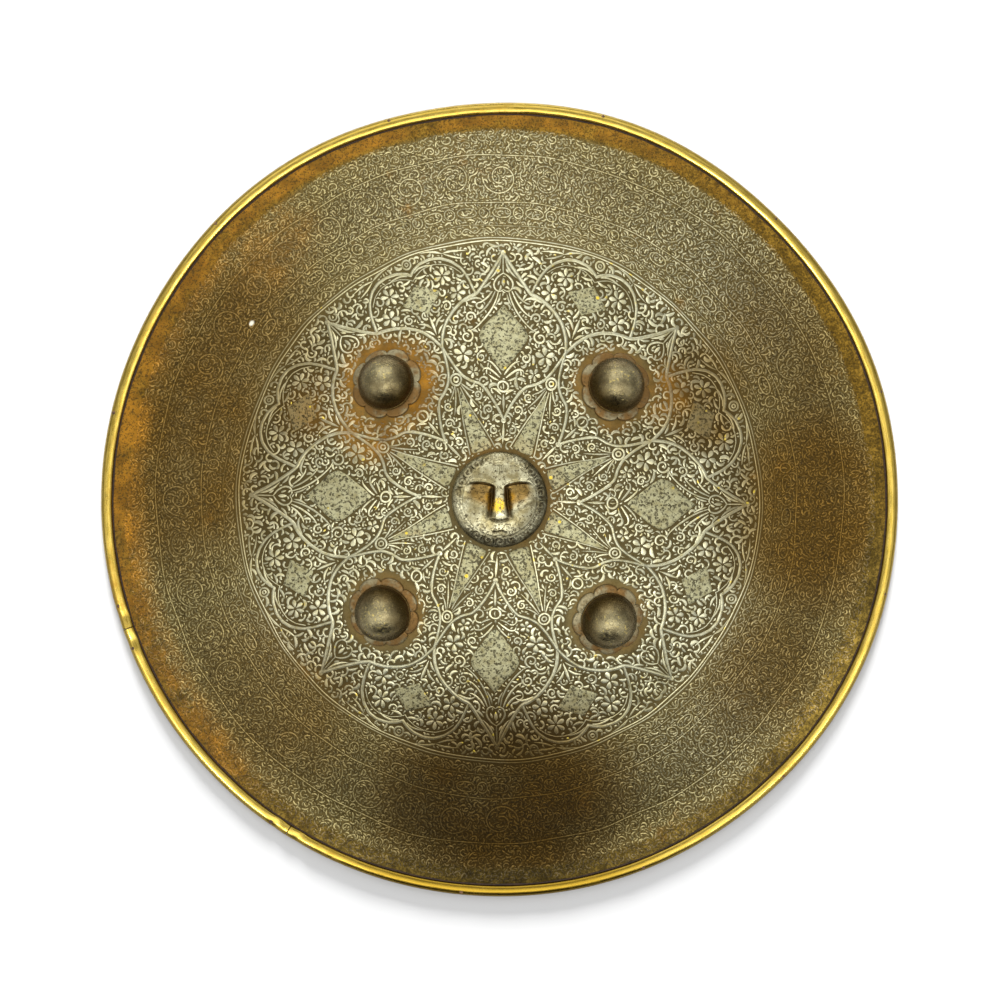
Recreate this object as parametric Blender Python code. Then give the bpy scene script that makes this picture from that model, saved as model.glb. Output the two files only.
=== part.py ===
"""A domed steel dhal: a round plate with a flared rim, four riveted bosses on lobed washers,
a face boss at the crown, and a brass edging in two lengths held by iron pins.

Metres, +Z up. The shield lies on its rim with the convex side up. The origin is the centre of
the rim, on the surface that it rests on. +Y is the way that the face's forehead points.
"""
import math

import bmesh
import bpy
from mathutils import Matrix, Vector

# Fits
FIT = 0.0003  # clearance between touching pieces

# Brass edging, a channel folded over the rim of the plate
RIM_RADIUS = 0.2250  # outside of the edging
EDGING_WIDTH = 0.0065
EDGING_WALL = 0.0009
EDGING_LIP = 0.0007  # thickness of the upper leg at its inner edge
EDGING_HEIGHT = 0.0050  # top of the rounded crown
EDGING_CROWN_INSET = 0.0034  # from the outside to the top of the crown
EDGING_NOSE = 0.0015  # easing of the lower outside edge
EDGING_JOINTS = (199.1, 237.4)  # where its two lengths meet, in degrees from +X
EDGING_JOINT_GAP = 0.0005

# Iron pins through the edging
PIN_RADIUS = 0.0009
PIN_PROUD = 0.0002
PIN_ANGLES = (
    15.8, 45.5, 74.9, 106.3, 135.8, 167.3, 195.6, 202.1, 234.6, 241.2, 264.4, 291.3, 315.7, 346.2,
)

# Plate
PLATE_THICKNESS = 0.0016
DOME_RADIUS = 0.3100  # of the sphere that the outer face follows
FLARE_RADIUS = 0.0500  # of the reverse curve between the dome and the level rim
RIM_LAND_SHOWING = 0.0005  # level part of the rim inside the edging

# Raised strapwork on the plate: a ring round a star of eight ogee frames
STRAP_WIDTH = 0.0017
STRAP_HEIGHT = 0.0004
STRAP_ROOT = 0.0007  # how far a strap reaches down into the plate
RING_RADIUS = 0.1422
FRAME_COUNT = 8
FRAME_TIP = 0.1341
FRAME_BRANCH = (0.1222, 3.6)  # radius, and degrees from the frame's axis
FRAME_SHOULDER = (0.1102, 7.5)
FRAME_SIDE = (0.1007, 16.2)
FRAME_NODE = 0.0862  # where a frame touches its neighbour
FRAME_FLANK = (0.0720, 20.2)
FRAME_HEEL = (0.0621, 11.5)
FRAME_TOE = 0.0428

# Bosses
BOSS_CIRCLE = 0.0862  # distance of each boss from the shield's axis
BOSS_ANGLES = (44.3, 134.2, 224.2, 312.0)
BOSS_NAMES = ("upper_right", "upper_left", "lower_left", "lower_right")
BOSS_RADIUS = 0.0152
BOSS_HEIGHT = 0.0150
BOSS_LIP = 0.0012
SHANK_RADIUS = 0.0030
RIVET_HEAD_RADIUS = 0.0055
RIVET_HEAD_HEIGHT = 0.0026

# Lobed washers under the bosses
WASHER_RADIUS = 0.0194
WASHER_CUSP_RADIUS = 0.0170
WASHER_THICKNESS = 0.0012
WASHER_LOBES = 8
WASHER_TURNS = (2.0, 2.0, 4.0, -13.0)  # degrees that each washer is turned from its neighbours

# Face boss at the crown
FACE_RADIUS = 0.0252
FACE_EDGE_HEIGHT = 0.0062  # where the rounded side meets the top
FACE_HEIGHT = 0.0088
FACE_EDGE_ROUNDING = 0.0026
BROW_LINE = 0.0070  # above the centre of the face
BROW_REACH = 0.0180
SOCKET_DEPTH = 0.0034
SOCKET_FLOOR_RISE = 0.0030  # from the nose outwards
NOSE_BRIDGE_WIDTH = 0.0044
NOSE_WIDTH = 0.0092
NOSE_LENGTH = 0.0168
MOUTH_WIDTH = 0.0072
MOUTH_DROP = 0.0168  # below the centre of the face
MOUTH_GROOVE = 0.0006

# Facets
RIM_SIDES = 48
RIM_START = 1.9  # degrees from +X to the first facet's edge, clear of the ornament's axes
DOME_STEPS = 8
FLARE_STEPS = 3
BOSS_SIDES = 16
BOSS_STEPS = 4
LOBE_STEPS = 3
FACE_SIDES = 28
PIN_SIDES = 8
WELD = 1e-6
SHARP_EDGE = math.radians(35)

# Heights and radii worked out from the sizes above
PLATE_UNDERSIDE = EDGING_WALL + FIT
PLATE_RIM_TOP = PLATE_UNDERSIDE + PLATE_THICKNESS
SLOT_TOP = PLATE_RIM_TOP + FIT
SLOT_RADIUS = RIM_RADIUS - EDGING_WALL
EDGING_INNER_RADIUS = RIM_RADIUS - EDGING_WIDTH
PIN_CIRCLE = SLOT_RADIUS - FIT - PIN_RADIUS
PLATE_RADIUS = PIN_CIRCLE - PIN_RADIUS - FIT
LAND_RADIUS = EDGING_INNER_RADIUS - RIM_LAND_SHOWING
TURN_ANGLE = math.asin(LAND_RADIUS / (DOME_RADIUS + FLARE_RADIUS))
DOME_CENTRE = (
    PLATE_RIM_TOP + FLARE_RADIUS * (1 - math.cos(TURN_ANGLE)) - DOME_RADIUS * math.cos(TURN_ANGLE)
)
FACET_SAG = DOME_RADIUS * (1 - math.cos(TURN_ANGLE / DOME_STEPS / 2))  # of a flat facet below the sphere
HOLE_RADIUS = SHANK_RADIUS + FIT


def clear_scene():
    for old in list(bpy.data.objects):
        bpy.data.objects.remove(old, do_unlink=True)


def make_material(name, colour, roughness, metallic):
    made = bpy.data.materials.new(name)
    made.use_nodes = True
    shader = made.node_tree.nodes["Principled BSDF"]
    shader.inputs["Base Color"].default_value = (*colour, 1.0)
    shader.inputs["Roughness"].default_value = roughness
    shader.inputs["Metallic"].default_value = metallic
    return made


def add_object(name, bm, material=None, matrix=None):
    """Turns a bmesh into an object of that name, smooth but for its sharp edges."""
    bmesh.ops.recalc_face_normals(bm, faces=bm.faces)
    mesh = bpy.data.meshes.new(name)
    bm.to_mesh(mesh)
    bm.free()
    mesh.shade_smooth()
    mesh.set_sharp_from_angle(angle=SHARP_EDGE)
    if material:
        mesh.materials.append(material)
    made = bpy.data.objects.new(name, mesh)
    if matrix:
        made.matrix_world = matrix
    bpy.context.scene.collection.objects.link(made)
    return made


def as_helper(made):
    """Marks a cutter, or a solid that is joined into another, as no piece of the shield."""
    made.hide_render = True
    made.display_type = "WIRE"
    return made


def boolean(target, operation, other):
    modifier = target.modifiers.new(f"{operation.lower()}_{other.name}", "BOOLEAN")
    modifier.operation = operation
    modifier.solver = "EXACT"
    modifier.object = other


def lathe(profile, sides, start=0.0):
    """A turned body. The profile is (radius, height) pairs from the axis above to the axis below."""
    bm = bmesh.new()
    points = [bm.verts.new(on_circle(radius, start, height)) for radius, height in profile]
    edges = [bm.edges.new(pair) for pair in zip(points, points[1:])]
    bmesh.ops.spin(
        bm, geom=points + edges, cent=(0, 0, 0), axis=(0, 0, 1), angle=2 * math.pi, steps=sides, use_merge=True
    )
    bmesh.ops.remove_doubles(bm, verts=bm.verts, dist=WELD)
    return bm


def loft(bm, rings, closed=False):
    """Joins rings of equally many points with faces. An open run of rings gets flat caps."""
    rows = [[bm.verts.new(point) for point in ring] for ring in rings]
    pairs = list(zip(rows, rows[1:]))
    if closed:
        pairs.append((rows[-1], rows[0]))
    for row, following in pairs:
        for i in range(len(row)):
            j = (i + 1) % len(row)
            bm.faces.new((row[i], row[j], following[j], following[i]))
    if not closed:
        bm.faces.new(rows[0])
        bm.faces.new(reversed(rows[-1]))


def cylinder(bm, radius, bottom, top, sides, matrix=Matrix()):
    angles = [2 * math.pi * i / sides for i in range(sides)]
    rings = [[matrix @ Vector((radius * math.cos(a), radius * math.sin(a), z)) for a in angles] for z in (bottom, top)]
    loft(bm, rings)


def on_circle(radius, degrees, height=0.0):
    angle = math.radians(degrees)
    return Vector((radius * math.cos(angle), radius * math.sin(angle), height))


def sag(distance, sphere=DOME_RADIUS):
    """How far a sphere has fallen away from its tangent plane at this distance from the touching point."""
    return sphere - math.sqrt(sphere**2 - distance**2)


def dome_height(radius):
    """Height of the dome's outer face at this distance from the shield's axis."""
    return DOME_CENTRE + math.sqrt(DOME_RADIUS**2 - radius**2)


def dome_frame(radius, degrees, turn=0.0):
    """A local frame on the dome: +Z is its outward normal, and +X points away from the axis."""
    lean = math.asin(radius / DOME_RADIUS)
    place = Matrix.Translation(on_circle(radius, degrees, dome_height(radius)))
    spin = Matrix.Rotation(math.radians(degrees), 4, "Z")
    tilt = Matrix.Rotation(lean, 4, "Y")
    return place @ spin @ tilt @ Matrix.Rotation(math.radians(turn), 4, "Z")


def plate_profile():
    """The plate's section: outer face from the crown to the rim, then the inner face back."""
    dome = [TURN_ANGLE * i / DOME_STEPS for i in range(DOME_STEPS + 1)]
    flare = [TURN_ANGLE * (1 - i / FLARE_STEPS) for i in range(1, FLARE_STEPS + 1)]
    inner_dome = DOME_RADIUS - PLATE_THICKNESS
    inner_flare = FLARE_RADIUS + PLATE_THICKNESS
    flare_centre = PLATE_RIM_TOP + FLARE_RADIUS
    outer = [(DOME_RADIUS * math.sin(a), DOME_CENTRE + DOME_RADIUS * math.cos(a)) for a in dome]
    outer += ring_strap_profile()
    outer.sort()
    outer += [(LAND_RADIUS - FLARE_RADIUS * math.sin(a), flare_centre - FLARE_RADIUS * math.cos(a)) for a in flare]
    outer.append((PLATE_RADIUS, PLATE_RIM_TOP))
    inner = [(PLATE_RADIUS, PLATE_UNDERSIDE)]
    inner += [
        (LAND_RADIUS - inner_flare * math.sin(a), flare_centre - inner_flare * math.cos(a)) for a in reversed(flare)
    ]
    inner += [(inner_dome * math.sin(a), DOME_CENTRE + inner_dome * math.cos(a)) for a in reversed(dome)]
    return outer + inner


def ring_strap_profile():
    """The ring round the star: a low raised bead."""
    section = ((-STRAP_WIDTH / 2, 0.0), (0.0, STRAP_HEIGHT), (STRAP_WIDTH / 2, 0.0))
    return [(RING_RADIUS + across, dome_height(RING_RADIUS + across) + up) for across, up in section]


def star_outlines():
    """Centre lines of the star's outer and inner loops as (radius, degrees). They meet at the nodes."""
    outer_half = [(FRAME_TIP, 0.0), FRAME_BRANCH, FRAME_SHOULDER, FRAME_SIDE]
    inner_half = [(FRAME_TOE, 0.0), FRAME_HEEL, FRAME_FLANK]
    node = (FRAME_NODE, 180 / FRAME_COUNT)
    loops = []
    for half in (outer_half, inner_half):
        period = [*half, node, *((radius, -degrees) for radius, degrees in reversed(half[1:]))]
        loop = []
        for i in range(FRAME_COUNT):
            for j, (radius, degrees) in enumerate(period):
                later = i + 1 if j > len(half) else i
                loop.append((radius, 90 + degrees + later * 360 / FRAME_COUNT))
        loops.append(loop)
    return loops


def strap(outline):
    """A raised strap along a closed line on the dome, let into the plate, with mitred corners."""
    centre = Vector((0, 0, DOME_CENTRE))
    points = [on_circle(radius, turn, dome_height(radius)) for radius, turn in outline]
    rings = []
    for i, point in enumerate(points):
        before = (point - points[i - 1]).normalized()
        after = (points[(i + 1) % len(points)] - point).normalized()
        normal = (point - centre).normalized()
        side = normal.cross(before + after).normalized()
        mitre = 1 / max(0.5, side.dot(normal.cross(after).normalized()))
        reach = side * (STRAP_WIDTH / 2 * mitre)
        top, root = point + normal * STRAP_HEIGHT, point - normal * STRAP_ROOT
        rings.append((top - reach, top + reach, root + reach, root - reach))
    bm = bmesh.new()
    loft(bm, rings, closed=True)
    return bm


def shank_hole_cutter():
    """Cutters for the five shanks, each along its own boss's axis."""
    bm = bmesh.new()
    reach = 4 * PLATE_THICKNESS
    cylinder(bm, HOLE_RADIUS, -reach, reach, BOSS_SIDES, dome_frame(0.0, 0.0))
    for degrees in BOSS_ANGLES:
        cylinder(bm, HOLE_RADIUS, -reach, reach, BOSS_SIDES, dome_frame(BOSS_CIRCLE, degrees))
    return as_helper(add_object("shank_holes", bm))


def build_plate(material):
    plate = add_object("domed_plate", lathe(plate_profile(), RIM_SIDES, RIM_START), material)
    for name, outline in zip(("outer_loop", "inner_loop"), star_outlines()):
        boolean(plate, "UNION", as_helper(add_object(name, strap(outline))))
    boolean(plate, "DIFFERENCE", shank_hole_cutter())


def edging_section():
    """The channel's section as (radius, height), round from its inner lower corner."""
    crown_radius = RIM_RADIUS - EDGING_CROWN_INSET
    quarter = math.pi / 2
    section = [(EDGING_INNER_RADIUS, 0.0)]
    section += [(RIM_RADIUS - EDGING_NOSE, 0.0), (RIM_RADIUS, EDGING_NOSE)]
    for i in range(1, 4):
        a = quarter * i / 3
        rise = (EDGING_HEIGHT - EDGING_NOSE) * math.sin(a)
        section.append((crown_radius + EDGING_CROWN_INSET * math.cos(a), EDGING_NOSE + rise))
    section += [
        (EDGING_INNER_RADIUS, SLOT_TOP + EDGING_LIP),
        (EDGING_INNER_RADIUS, SLOT_TOP),
        (SLOT_RADIUS, SLOT_TOP),
        (SLOT_RADIUS, EDGING_WALL),
        (EDGING_INNER_RADIUS, EDGING_WALL),
    ]
    return section


def crown_height(radius):
    """Height of the edging's rounded top at this radius, outside its crown."""
    across = (radius - (RIM_RADIUS - EDGING_CROWN_INSET)) / EDGING_CROWN_INSET
    return EDGING_NOSE + (EDGING_HEIGHT - EDGING_NOSE) * math.sqrt(1 - across**2)


def pin_hole_cutter():
    bm = bmesh.new()
    for degrees in PIN_ANGLES:
        place = Matrix.Translation(on_circle(PIN_CIRCLE, degrees)) @ Matrix.Rotation(math.radians(degrees), 4, "Z")
        cylinder(bm, PIN_RADIUS + FIT, -EDGING_HEIGHT, 2 * EDGING_HEIGHT, PIN_SIDES, place)
    return as_helper(add_object("pin_holes", bm))


def build_edging(material):
    """Two lengths of channel, parted at the joints by a narrow gap."""
    section = edging_section()
    holes = pin_hole_cutter()
    step = 360 / RIM_SIDES
    inset = math.degrees(EDGING_JOINT_GAP / 2 / RIM_RADIUS)
    first, second = EDGING_JOINTS
    lengths = {"brass_edging_short": (first, second), "brass_edging_long": (second, first + 360)}
    for name, (start, end) in lengths.items():
        inner = [step * i for i in range(2 * RIM_SIDES) if start + step / 4 < step * i < end - step / 4]
        stations = [start + inset, *inner, end - inset]
        bm = bmesh.new()
        loft(bm, [[on_circle(radius, degrees, z) for radius, z in section] for degrees in stations])
        boolean(add_object(name, bm, material), "DIFFERENCE", holes)


def build_pins(material):
    for i, degrees in enumerate(PIN_ANGLES, start=1):
        bm = bmesh.new()
        place = Matrix.Translation(on_circle(PIN_CIRCLE, degrees)) @ Matrix.Rotation(math.radians(degrees), 4, "Z")
        cylinder(bm, PIN_RADIUS, FIT, crown_height(PIN_CIRCLE) + PIN_PROUD, PIN_SIDES)
        add_object(f"edging_pin_{i:02d}", bm, material, place)


def riveted_profile(underside, crown):
    """A boss with its shank through the plate and its end peened over behind: crown is its upper outline."""
    head_top = -(PLATE_THICKNESS + FIT + FACET_SAG + sag(RIVET_HEAD_RADIUS))
    return [
        *crown,
        *underside,
        (SHANK_RADIUS, head_top),
        (RIVET_HEAD_RADIUS, head_top),
        (RIVET_HEAD_RADIUS * 0.75, head_top - RIVET_HEAD_HEIGHT * 0.75),
        (0.0, head_top - RIVET_HEAD_HEIGHT),
    ]


def boss_profile():
    seat = FIT + WASHER_THICKNESS + FIT
    rise = BOSS_HEIGHT - BOSS_LIP
    crown = []
    for i in range(BOSS_STEPS + 1):
        a = math.pi / 2 * i / BOSS_STEPS
        crown.append((BOSS_RADIUS * math.sin(a), seat + BOSS_LIP + rise * math.cos(a)))
    return riveted_profile([(BOSS_RADIUS, seat), (SHANK_RADIUS, seat)], crown)


def lobe_radius(angle):
    """Radius of the lobed outline: round lobes that meet in cusps."""
    phase = (angle * WASHER_LOBES / (2 * math.pi)) % 1.0
    return WASHER_CUSP_RADIUS + (WASHER_RADIUS - WASHER_CUSP_RADIUS) * math.sqrt(math.sin(math.pi * phase))


def build_washer(name, material, matrix):
    """A lobed washer that follows the dome, with a sloping edge."""
    count = WASHER_LOBES * LOBE_STEPS
    rings = []
    for i in range(count):
        angle = 2 * math.pi * i / count
        outer = lobe_radius(angle)
        eased = outer - WASHER_THICKNESS * 0.4
        top = FIT + WASHER_THICKNESS
        section = ((HOLE_RADIUS, FIT), (outer, FIT), (eased, top), (HOLE_RADIUS, top))
        rings.append([(r * math.cos(angle), r * math.sin(angle), z - sag(r)) for r, z in section])
    bm = bmesh.new()
    loft(bm, rings, closed=True)
    add_object(name, bm, material, matrix)


def build_bosses(material):
    inwards = 180.0
    for name, degrees, turn in zip(BOSS_NAMES, BOSS_ANGLES, WASHER_TURNS):
        build_washer(f"lobed_washer_{name}", material, dome_frame(BOSS_CIRCLE, degrees, inwards + turn))
        boss = add_object(f"boss_{name}", lathe(boss_profile(), BOSS_SIDES), material)
        boss.matrix_world = dome_frame(BOSS_CIRCLE, degrees)


def face_profile():
    """Upper outline and underside of the face boss, which is hollowed to sit on the dome."""
    top_radius = FACE_RADIUS - FACE_EDGE_ROUNDING
    crown = []
    for share in (0.0, 0.55, 1.0):
        crown.append((top_radius * share, FACE_HEIGHT - (FACE_HEIGHT - FACE_EDGE_HEIGHT) * share**2))
    for degrees in (45, 90):
        a = math.radians(degrees)
        drop = FACE_EDGE_ROUNDING * (1 - math.cos(a))
        crown.append((top_radius + FACE_EDGE_ROUNDING * math.sin(a), FACE_EDGE_HEIGHT - drop))
    foot = FACE_RADIUS - FACE_EDGE_ROUNDING / 2
    underside = [(radius, FIT - sag(radius)) for radius in (foot, SHANK_RADIUS)]
    return riveted_profile(underside, crown)


def face_surface(x, y):
    """Height of the face boss's domed top before it is carved."""
    share = math.hypot(x, y) / (FACE_RADIUS - FACE_EDGE_ROUNDING)
    return FACE_HEIGHT - (FACE_HEIGHT - FACE_EDGE_HEIGHT) * share**2


def socket_cutter(side):
    """The hollow beside the nose and below the brow, deepest where the two meet. side is -1 or 1."""
    foot = BROW_LINE - NOSE_LENGTH
    clear = 2 * FACE_HEIGHT
    floor = face_surface(0.0, 0.0) - SOCKET_DEPTH
    outline = [
        (NOSE_BRIDGE_WIDTH / 2, BROW_LINE),
        (BROW_REACH * 0.6, BROW_LINE * 1.12),
        (BROW_REACH, BROW_LINE * 0.55),
        (BROW_REACH * 0.92, BROW_LINE * -0.6),
        (BROW_REACH * 0.62, foot * 0.8),
        (NOSE_WIDTH * 0.62, foot),
        (NOSE_WIDTH / 2, foot * 0.72),
    ]
    bottom = []
    for x, y in outline:
        outwards = (x - NOSE_BRIDGE_WIDTH / 2) / (BROW_REACH - NOSE_BRIDGE_WIDTH / 2)
        downwards = (BROW_LINE - y) / NOSE_LENGTH
        edge = face_surface(x, y)
        depth = SOCKET_DEPTH * max(0.0, 1 - max(outwards, downwards) * 1.02)
        height = min(edge - depth, floor + SOCKET_FLOOR_RISE * max(outwards, downwards))
        bottom.append((side * x, y, height))
    top = [(side * x, y, clear) for x, y in outline]
    bm = bmesh.new()
    loft(bm, [bottom, top])
    return bm


def mouth_cutter():
    """A short groove for the mouth, which turns down a little at its ends."""
    bm = bmesh.new()
    half = MOUTH_WIDTH / 2
    rings = []
    for share in (-1.0, -0.4, 0.4, 1.0):
        x = half * share
        y = -MOUTH_DROP - 0.0005 * share**2
        top = face_surface(x, y) + MOUTH_GROOVE
        width = MOUTH_GROOVE * (1.3 - abs(share))
        rings.append([(x, y - width, top), (x, y, top - 2 * MOUTH_GROOVE), (x, y + width, top)])
    loft(bm, rings)
    return bm


def build_face_boss(material):
    place = dome_frame(0.0, 0.0)
    boss = add_object("face_boss", lathe(face_profile(), FACE_SIDES), material, place)
    cutters = {"left_socket": socket_cutter(-1), "right_socket": socket_cutter(1), "mouth": mouth_cutter()}
    for name, bm in cutters.items():
        boolean(boss, "DIFFERENCE", as_helper(add_object(name, bm, matrix=place)))


def main():
    clear_scene()
    steel = make_material("etched_steel", (0.30, 0.27, 0.19), 0.42, 1.0)
    boss_steel = make_material("boss_steel", (0.17, 0.13, 0.08), 0.38, 1.0)
    face_steel = make_material("face_steel", (0.38, 0.34, 0.23), 0.35, 1.0)
    brass = make_material("edging_brass", (0.72, 0.53, 0.16), 0.26, 1.0)
    iron = make_material("pin_iron", (0.12, 0.08, 0.05), 0.6, 1.0)
    build_plate(steel)
    build_edging(brass)
    build_pins(iron)
    build_bosses(boss_steel)
    build_face_boss(face_steel)
    bpy.context.view_layer.update()


main()
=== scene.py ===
"""A domed steel dhal with engraved arabesques, four bosses, a face boss and a brass edging.

The ornament is laid out in plan units, as the camera sees them: the edging's outside is 398.3 of
them from the shield's axis, and PLAN_SCALE and the camera's height turn them to metres.
"""

import math

import bpy
import numpy as np
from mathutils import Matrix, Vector


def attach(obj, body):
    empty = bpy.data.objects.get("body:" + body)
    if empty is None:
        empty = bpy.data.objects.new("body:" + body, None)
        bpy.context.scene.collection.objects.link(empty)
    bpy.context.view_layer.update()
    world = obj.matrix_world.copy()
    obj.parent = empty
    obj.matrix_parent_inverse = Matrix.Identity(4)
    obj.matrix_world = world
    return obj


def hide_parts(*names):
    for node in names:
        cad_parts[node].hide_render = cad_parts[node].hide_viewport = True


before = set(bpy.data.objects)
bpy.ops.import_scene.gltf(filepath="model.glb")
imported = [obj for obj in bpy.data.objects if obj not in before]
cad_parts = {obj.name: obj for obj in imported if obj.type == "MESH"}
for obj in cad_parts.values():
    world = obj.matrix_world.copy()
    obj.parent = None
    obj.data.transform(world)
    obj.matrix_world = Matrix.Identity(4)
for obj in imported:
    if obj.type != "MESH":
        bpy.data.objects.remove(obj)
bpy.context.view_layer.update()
rng = np.random.default_rng(11)
TAU = 2 * math.pi

# Sizes in metres and angles in degrees, as in the solids
RIM = 0.2250
EDGING_WIDTH = 0.0065
EDGING_WALL = 0.0009
EDGING_LIP = 0.0007
EDGING_HEIGHT = 0.0050
EDGING_NOSE = 0.0015
EDGING_SLOT = 0.0031
CROWN_INSET = 0.0034
PIN_RADIUS = 0.0009
PIN_CIRCLE = 0.2229
THICKNESS = 0.0016
DOME = 0.3100
FLARE = 0.0500
LAND = 0.2180
RIM_TOP = 0.0028
PLATE_RADIUS = 0.2217
TURN = math.asin(LAND / (DOME + FLARE))
CENTRE = RIM_TOP + FLARE * (1 - math.cos(TURN)) - DOME * math.cos(TURN)
BOSS_CIRCLE = 0.0862
BOSS_RADIUS = 0.0152
BOSS_HEIGHT = 0.0150
BOSS_LIP = 0.0012
BOSS_SEAT = 0.0018
SHANK_RADIUS = 0.0030
SHANK_END = -0.0024
PEEN_RADIUS = 0.0055
PEEN_DEPTH = 0.0026
WASHER_HOLE = 0.0033
WASHER_LOBES = 8
BOSSES = {  # degrees round the shield, and the washer's turn
    "upper_right": (44.3, 2.0),
    "upper_left": (134.2, 2.0),
    "lower_left": (224.2, 4.0),
    "lower_right": (312.0, -13.0),
}
JOINTS = (199.1, 237.4)
PINS = (15.8, 45.5, 74.9, 106.3, 135.8, 167.3, 195.6, 202.1, 234.6, 241.2, 264.4, 291.3, 315.7, 346.2)

# The camera's place in metres, its sensor in millimetres, the picture in pixels, and plan units
CAMERA_HEIGHT = 1.1
CAMERA_SHIFT = (0.00017, -0.00023)
SENSOR = 36.0
PICTURE = 1000
PLAN_RIM = 398.3
PLAN_SCALE = PLAN_RIM * (CAMERA_HEIGHT - EDGING_HEIGHT / 2) / RIM
PLAN_BOSS = 161.5


# The plate's surface

def hammered(x, y):
    """The slight unevenness of a hand-raised plate, which ends short of the flat rim."""
    waves = ((19, 7, 0.4), (-11, 23, 1.9), (31, -17, 4.1), (8, 41, 2.2), (-47, 12, 5.3))
    deep, end, fade = 0.00007, 0.205, 0.03
    height = sum(deep * np.sin(math.pi * (a * x + b * y) + c) for a, b, c in waves)
    return height * np.clip((end - np.hypot(x, y)) / fade, 0, 1)


def surface(xy, lift=0.0, outer=True):
    """Points on the plate's outer or inner face at these places, lifted along the normal."""
    x, y = xy[..., 0], xy[..., 1]
    r = np.hypot(x, y)
    safe = np.maximum(r, 1e-9)
    turn = LAND - FLARE * math.sin(TURN)
    dome = r <= turn
    flare = (r > turn) & (r < LAND)
    flare_lean = np.where(flare, np.arcsin(np.clip((LAND - r) / FLARE, 0, 1)), 0)
    lean = np.where(dome, np.arcsin(np.clip(r / DOME, 0, 1)), flare_lean)
    flare_z = np.where(flare, RIM_TOP + FLARE * (1 - np.cos(lean)), RIM_TOP)
    z = np.where(dome, CENTRE + DOME * np.cos(lean), flare_z)
    z = z + hammered(x, y)
    normal = np.stack([np.sin(lean) * x / safe, np.sin(lean) * y / safe, np.cos(lean)], -1)
    points = np.stack([x, y, z], -1)
    if not outer:
        points = points - normal * THICKNESS
    return points + normal * np.asarray(lift)[..., None]


# Distances from the axis in metres, and the plan units at which the camera sees them
RADII = np.linspace(0, PLATE_RADIUS, 600)
SEEN = RADII * PLAN_SCALE / (CAMERA_HEIGHT - surface(np.stack([RADII, 0 * RADII], -1))[:, 2])


def to_metres(plan):
    """Plan coordinates, as the camera sees them, to places on the shield."""
    r = np.hypot(plan[..., 0], plan[..., 1])
    return plan * (np.interp(r, SEEN, RADII) / np.maximum(r, 1e-9))[..., None]


def hand_drawn(plan):
    """The slips of a pattern set out by hand: a turn that grows inwards, and a gentle waver."""
    x, y = plan[..., 0], plan[..., 1]
    r = np.hypot(x, y)
    turn = -np.radians(np.interp(r, (60, 80, 250, 300), (2.2, 2.2, 0.9, 0)))
    dx = 0.9 * np.sin(x / 31 + y / 47 + 1) + 0.5 * np.sin(x / 13 - y / 17)
    dy = 0.9 * np.sin(y / 29 - x / 53 + 2) + 0.5 * np.sin(x / 15 + y / 12)
    fade = np.clip(r / 60, 0, 1)
    c, s = np.cos(turn), np.sin(turn)
    return np.stack([c * x - s * y + dx * fade, s * x + c * y + dy * fade], -1)


# Mesh helpers

def inside_out(verts, groups):
    """Whether a closed body's faces point into it."""
    volume = 0.0
    for group in groups:
        first = verts[group[:, 0]].astype(float)
        for k in range(1, group.shape[1] - 1):
            volume += np.einsum("ij,ij->", first, np.cross(verts[group[:, k]], verts[group[:, k + 1]]))
    return volume < 0


def make(name, verts, faces, material, replaces=(), sharp=None, marks=None):
    """An object from arrays of points and of faces, with its origin at the world's."""
    verts = np.asarray(verts, dtype=np.float32).reshape(-1, 3)
    groups = [np.asarray(f, dtype=np.int32) for f in faces if len(f)]
    if replaces and inside_out(verts, groups):
        groups = [g[:, ::-1] for g in groups]
    loops = np.concatenate([g.ravel() for g in groups])
    sizes = np.concatenate([np.full(len(g), g.shape[1]) for g in groups])
    mesh = bpy.data.meshes.new(name)
    mesh.vertices.add(len(verts))
    mesh.vertices.foreach_set("co", verts.ravel())
    mesh.loops.add(len(loops))
    mesh.loops.foreach_set("vertex_index", loops)
    mesh.polygons.add(len(sizes))
    mesh.polygons.foreach_set("loop_start", np.concatenate([[0], np.cumsum(sizes)[:-1]]).astype(np.int32))
    mesh.update(calc_edges=True)
    mesh.validate()
    mesh.shade_smooth()
    if sharp is not None:
        mesh.set_sharp_from_angle(angle=math.radians(sharp))
    for mark, values in (marks or {}).items():
        layer = mesh.attributes.new(mark, "FLOAT", "POINT")
        layer.data.foreach_set("value", np.asarray(values, np.float32).ravel())
    mesh.materials.append(material)
    made = bpy.data.objects.new(name, mesh)
    bpy.context.scene.collection.objects.link(made)
    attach(made, "root")
    if replaces:
        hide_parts(*replaces)
    return made


def grid_faces(rows, columns, wrap_rows=False, wrap_columns=False):
    """Quads that join a grid of points, row by row."""
    index = np.arange(rows * columns).reshape(rows, columns)
    if wrap_rows:
        index = np.vstack([index, index[:1]])
    if wrap_columns:
        index = np.hstack([index, index[:, :1]])
    return np.stack([index[:-1, :-1], index[:-1, 1:], index[1:, 1:], index[1:, :-1]], -1).reshape(-1, 4)


def closed_faces(rows, columns):
    """The faces of a stack of closed rings, with a cap at each end."""
    ring = np.arange(columns)[None]
    return [grid_faces(rows, columns, wrap_columns=True), ring[:, ::-1], ring + (rows - 1) * columns]


def turned(profile, sides):
    """A lathe: (radius, height) pairs to a grid of points, closed round the axis."""
    a = np.arange(sides) * TAU / sides
    r, z = np.array(profile).T
    points = np.stack([np.outer(r, np.cos(a)), np.outer(r, np.sin(a)), np.outer(z, np.ones(sides))], -1)
    return points.reshape(-1, 3), closed_faces(len(profile), sides)


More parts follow.
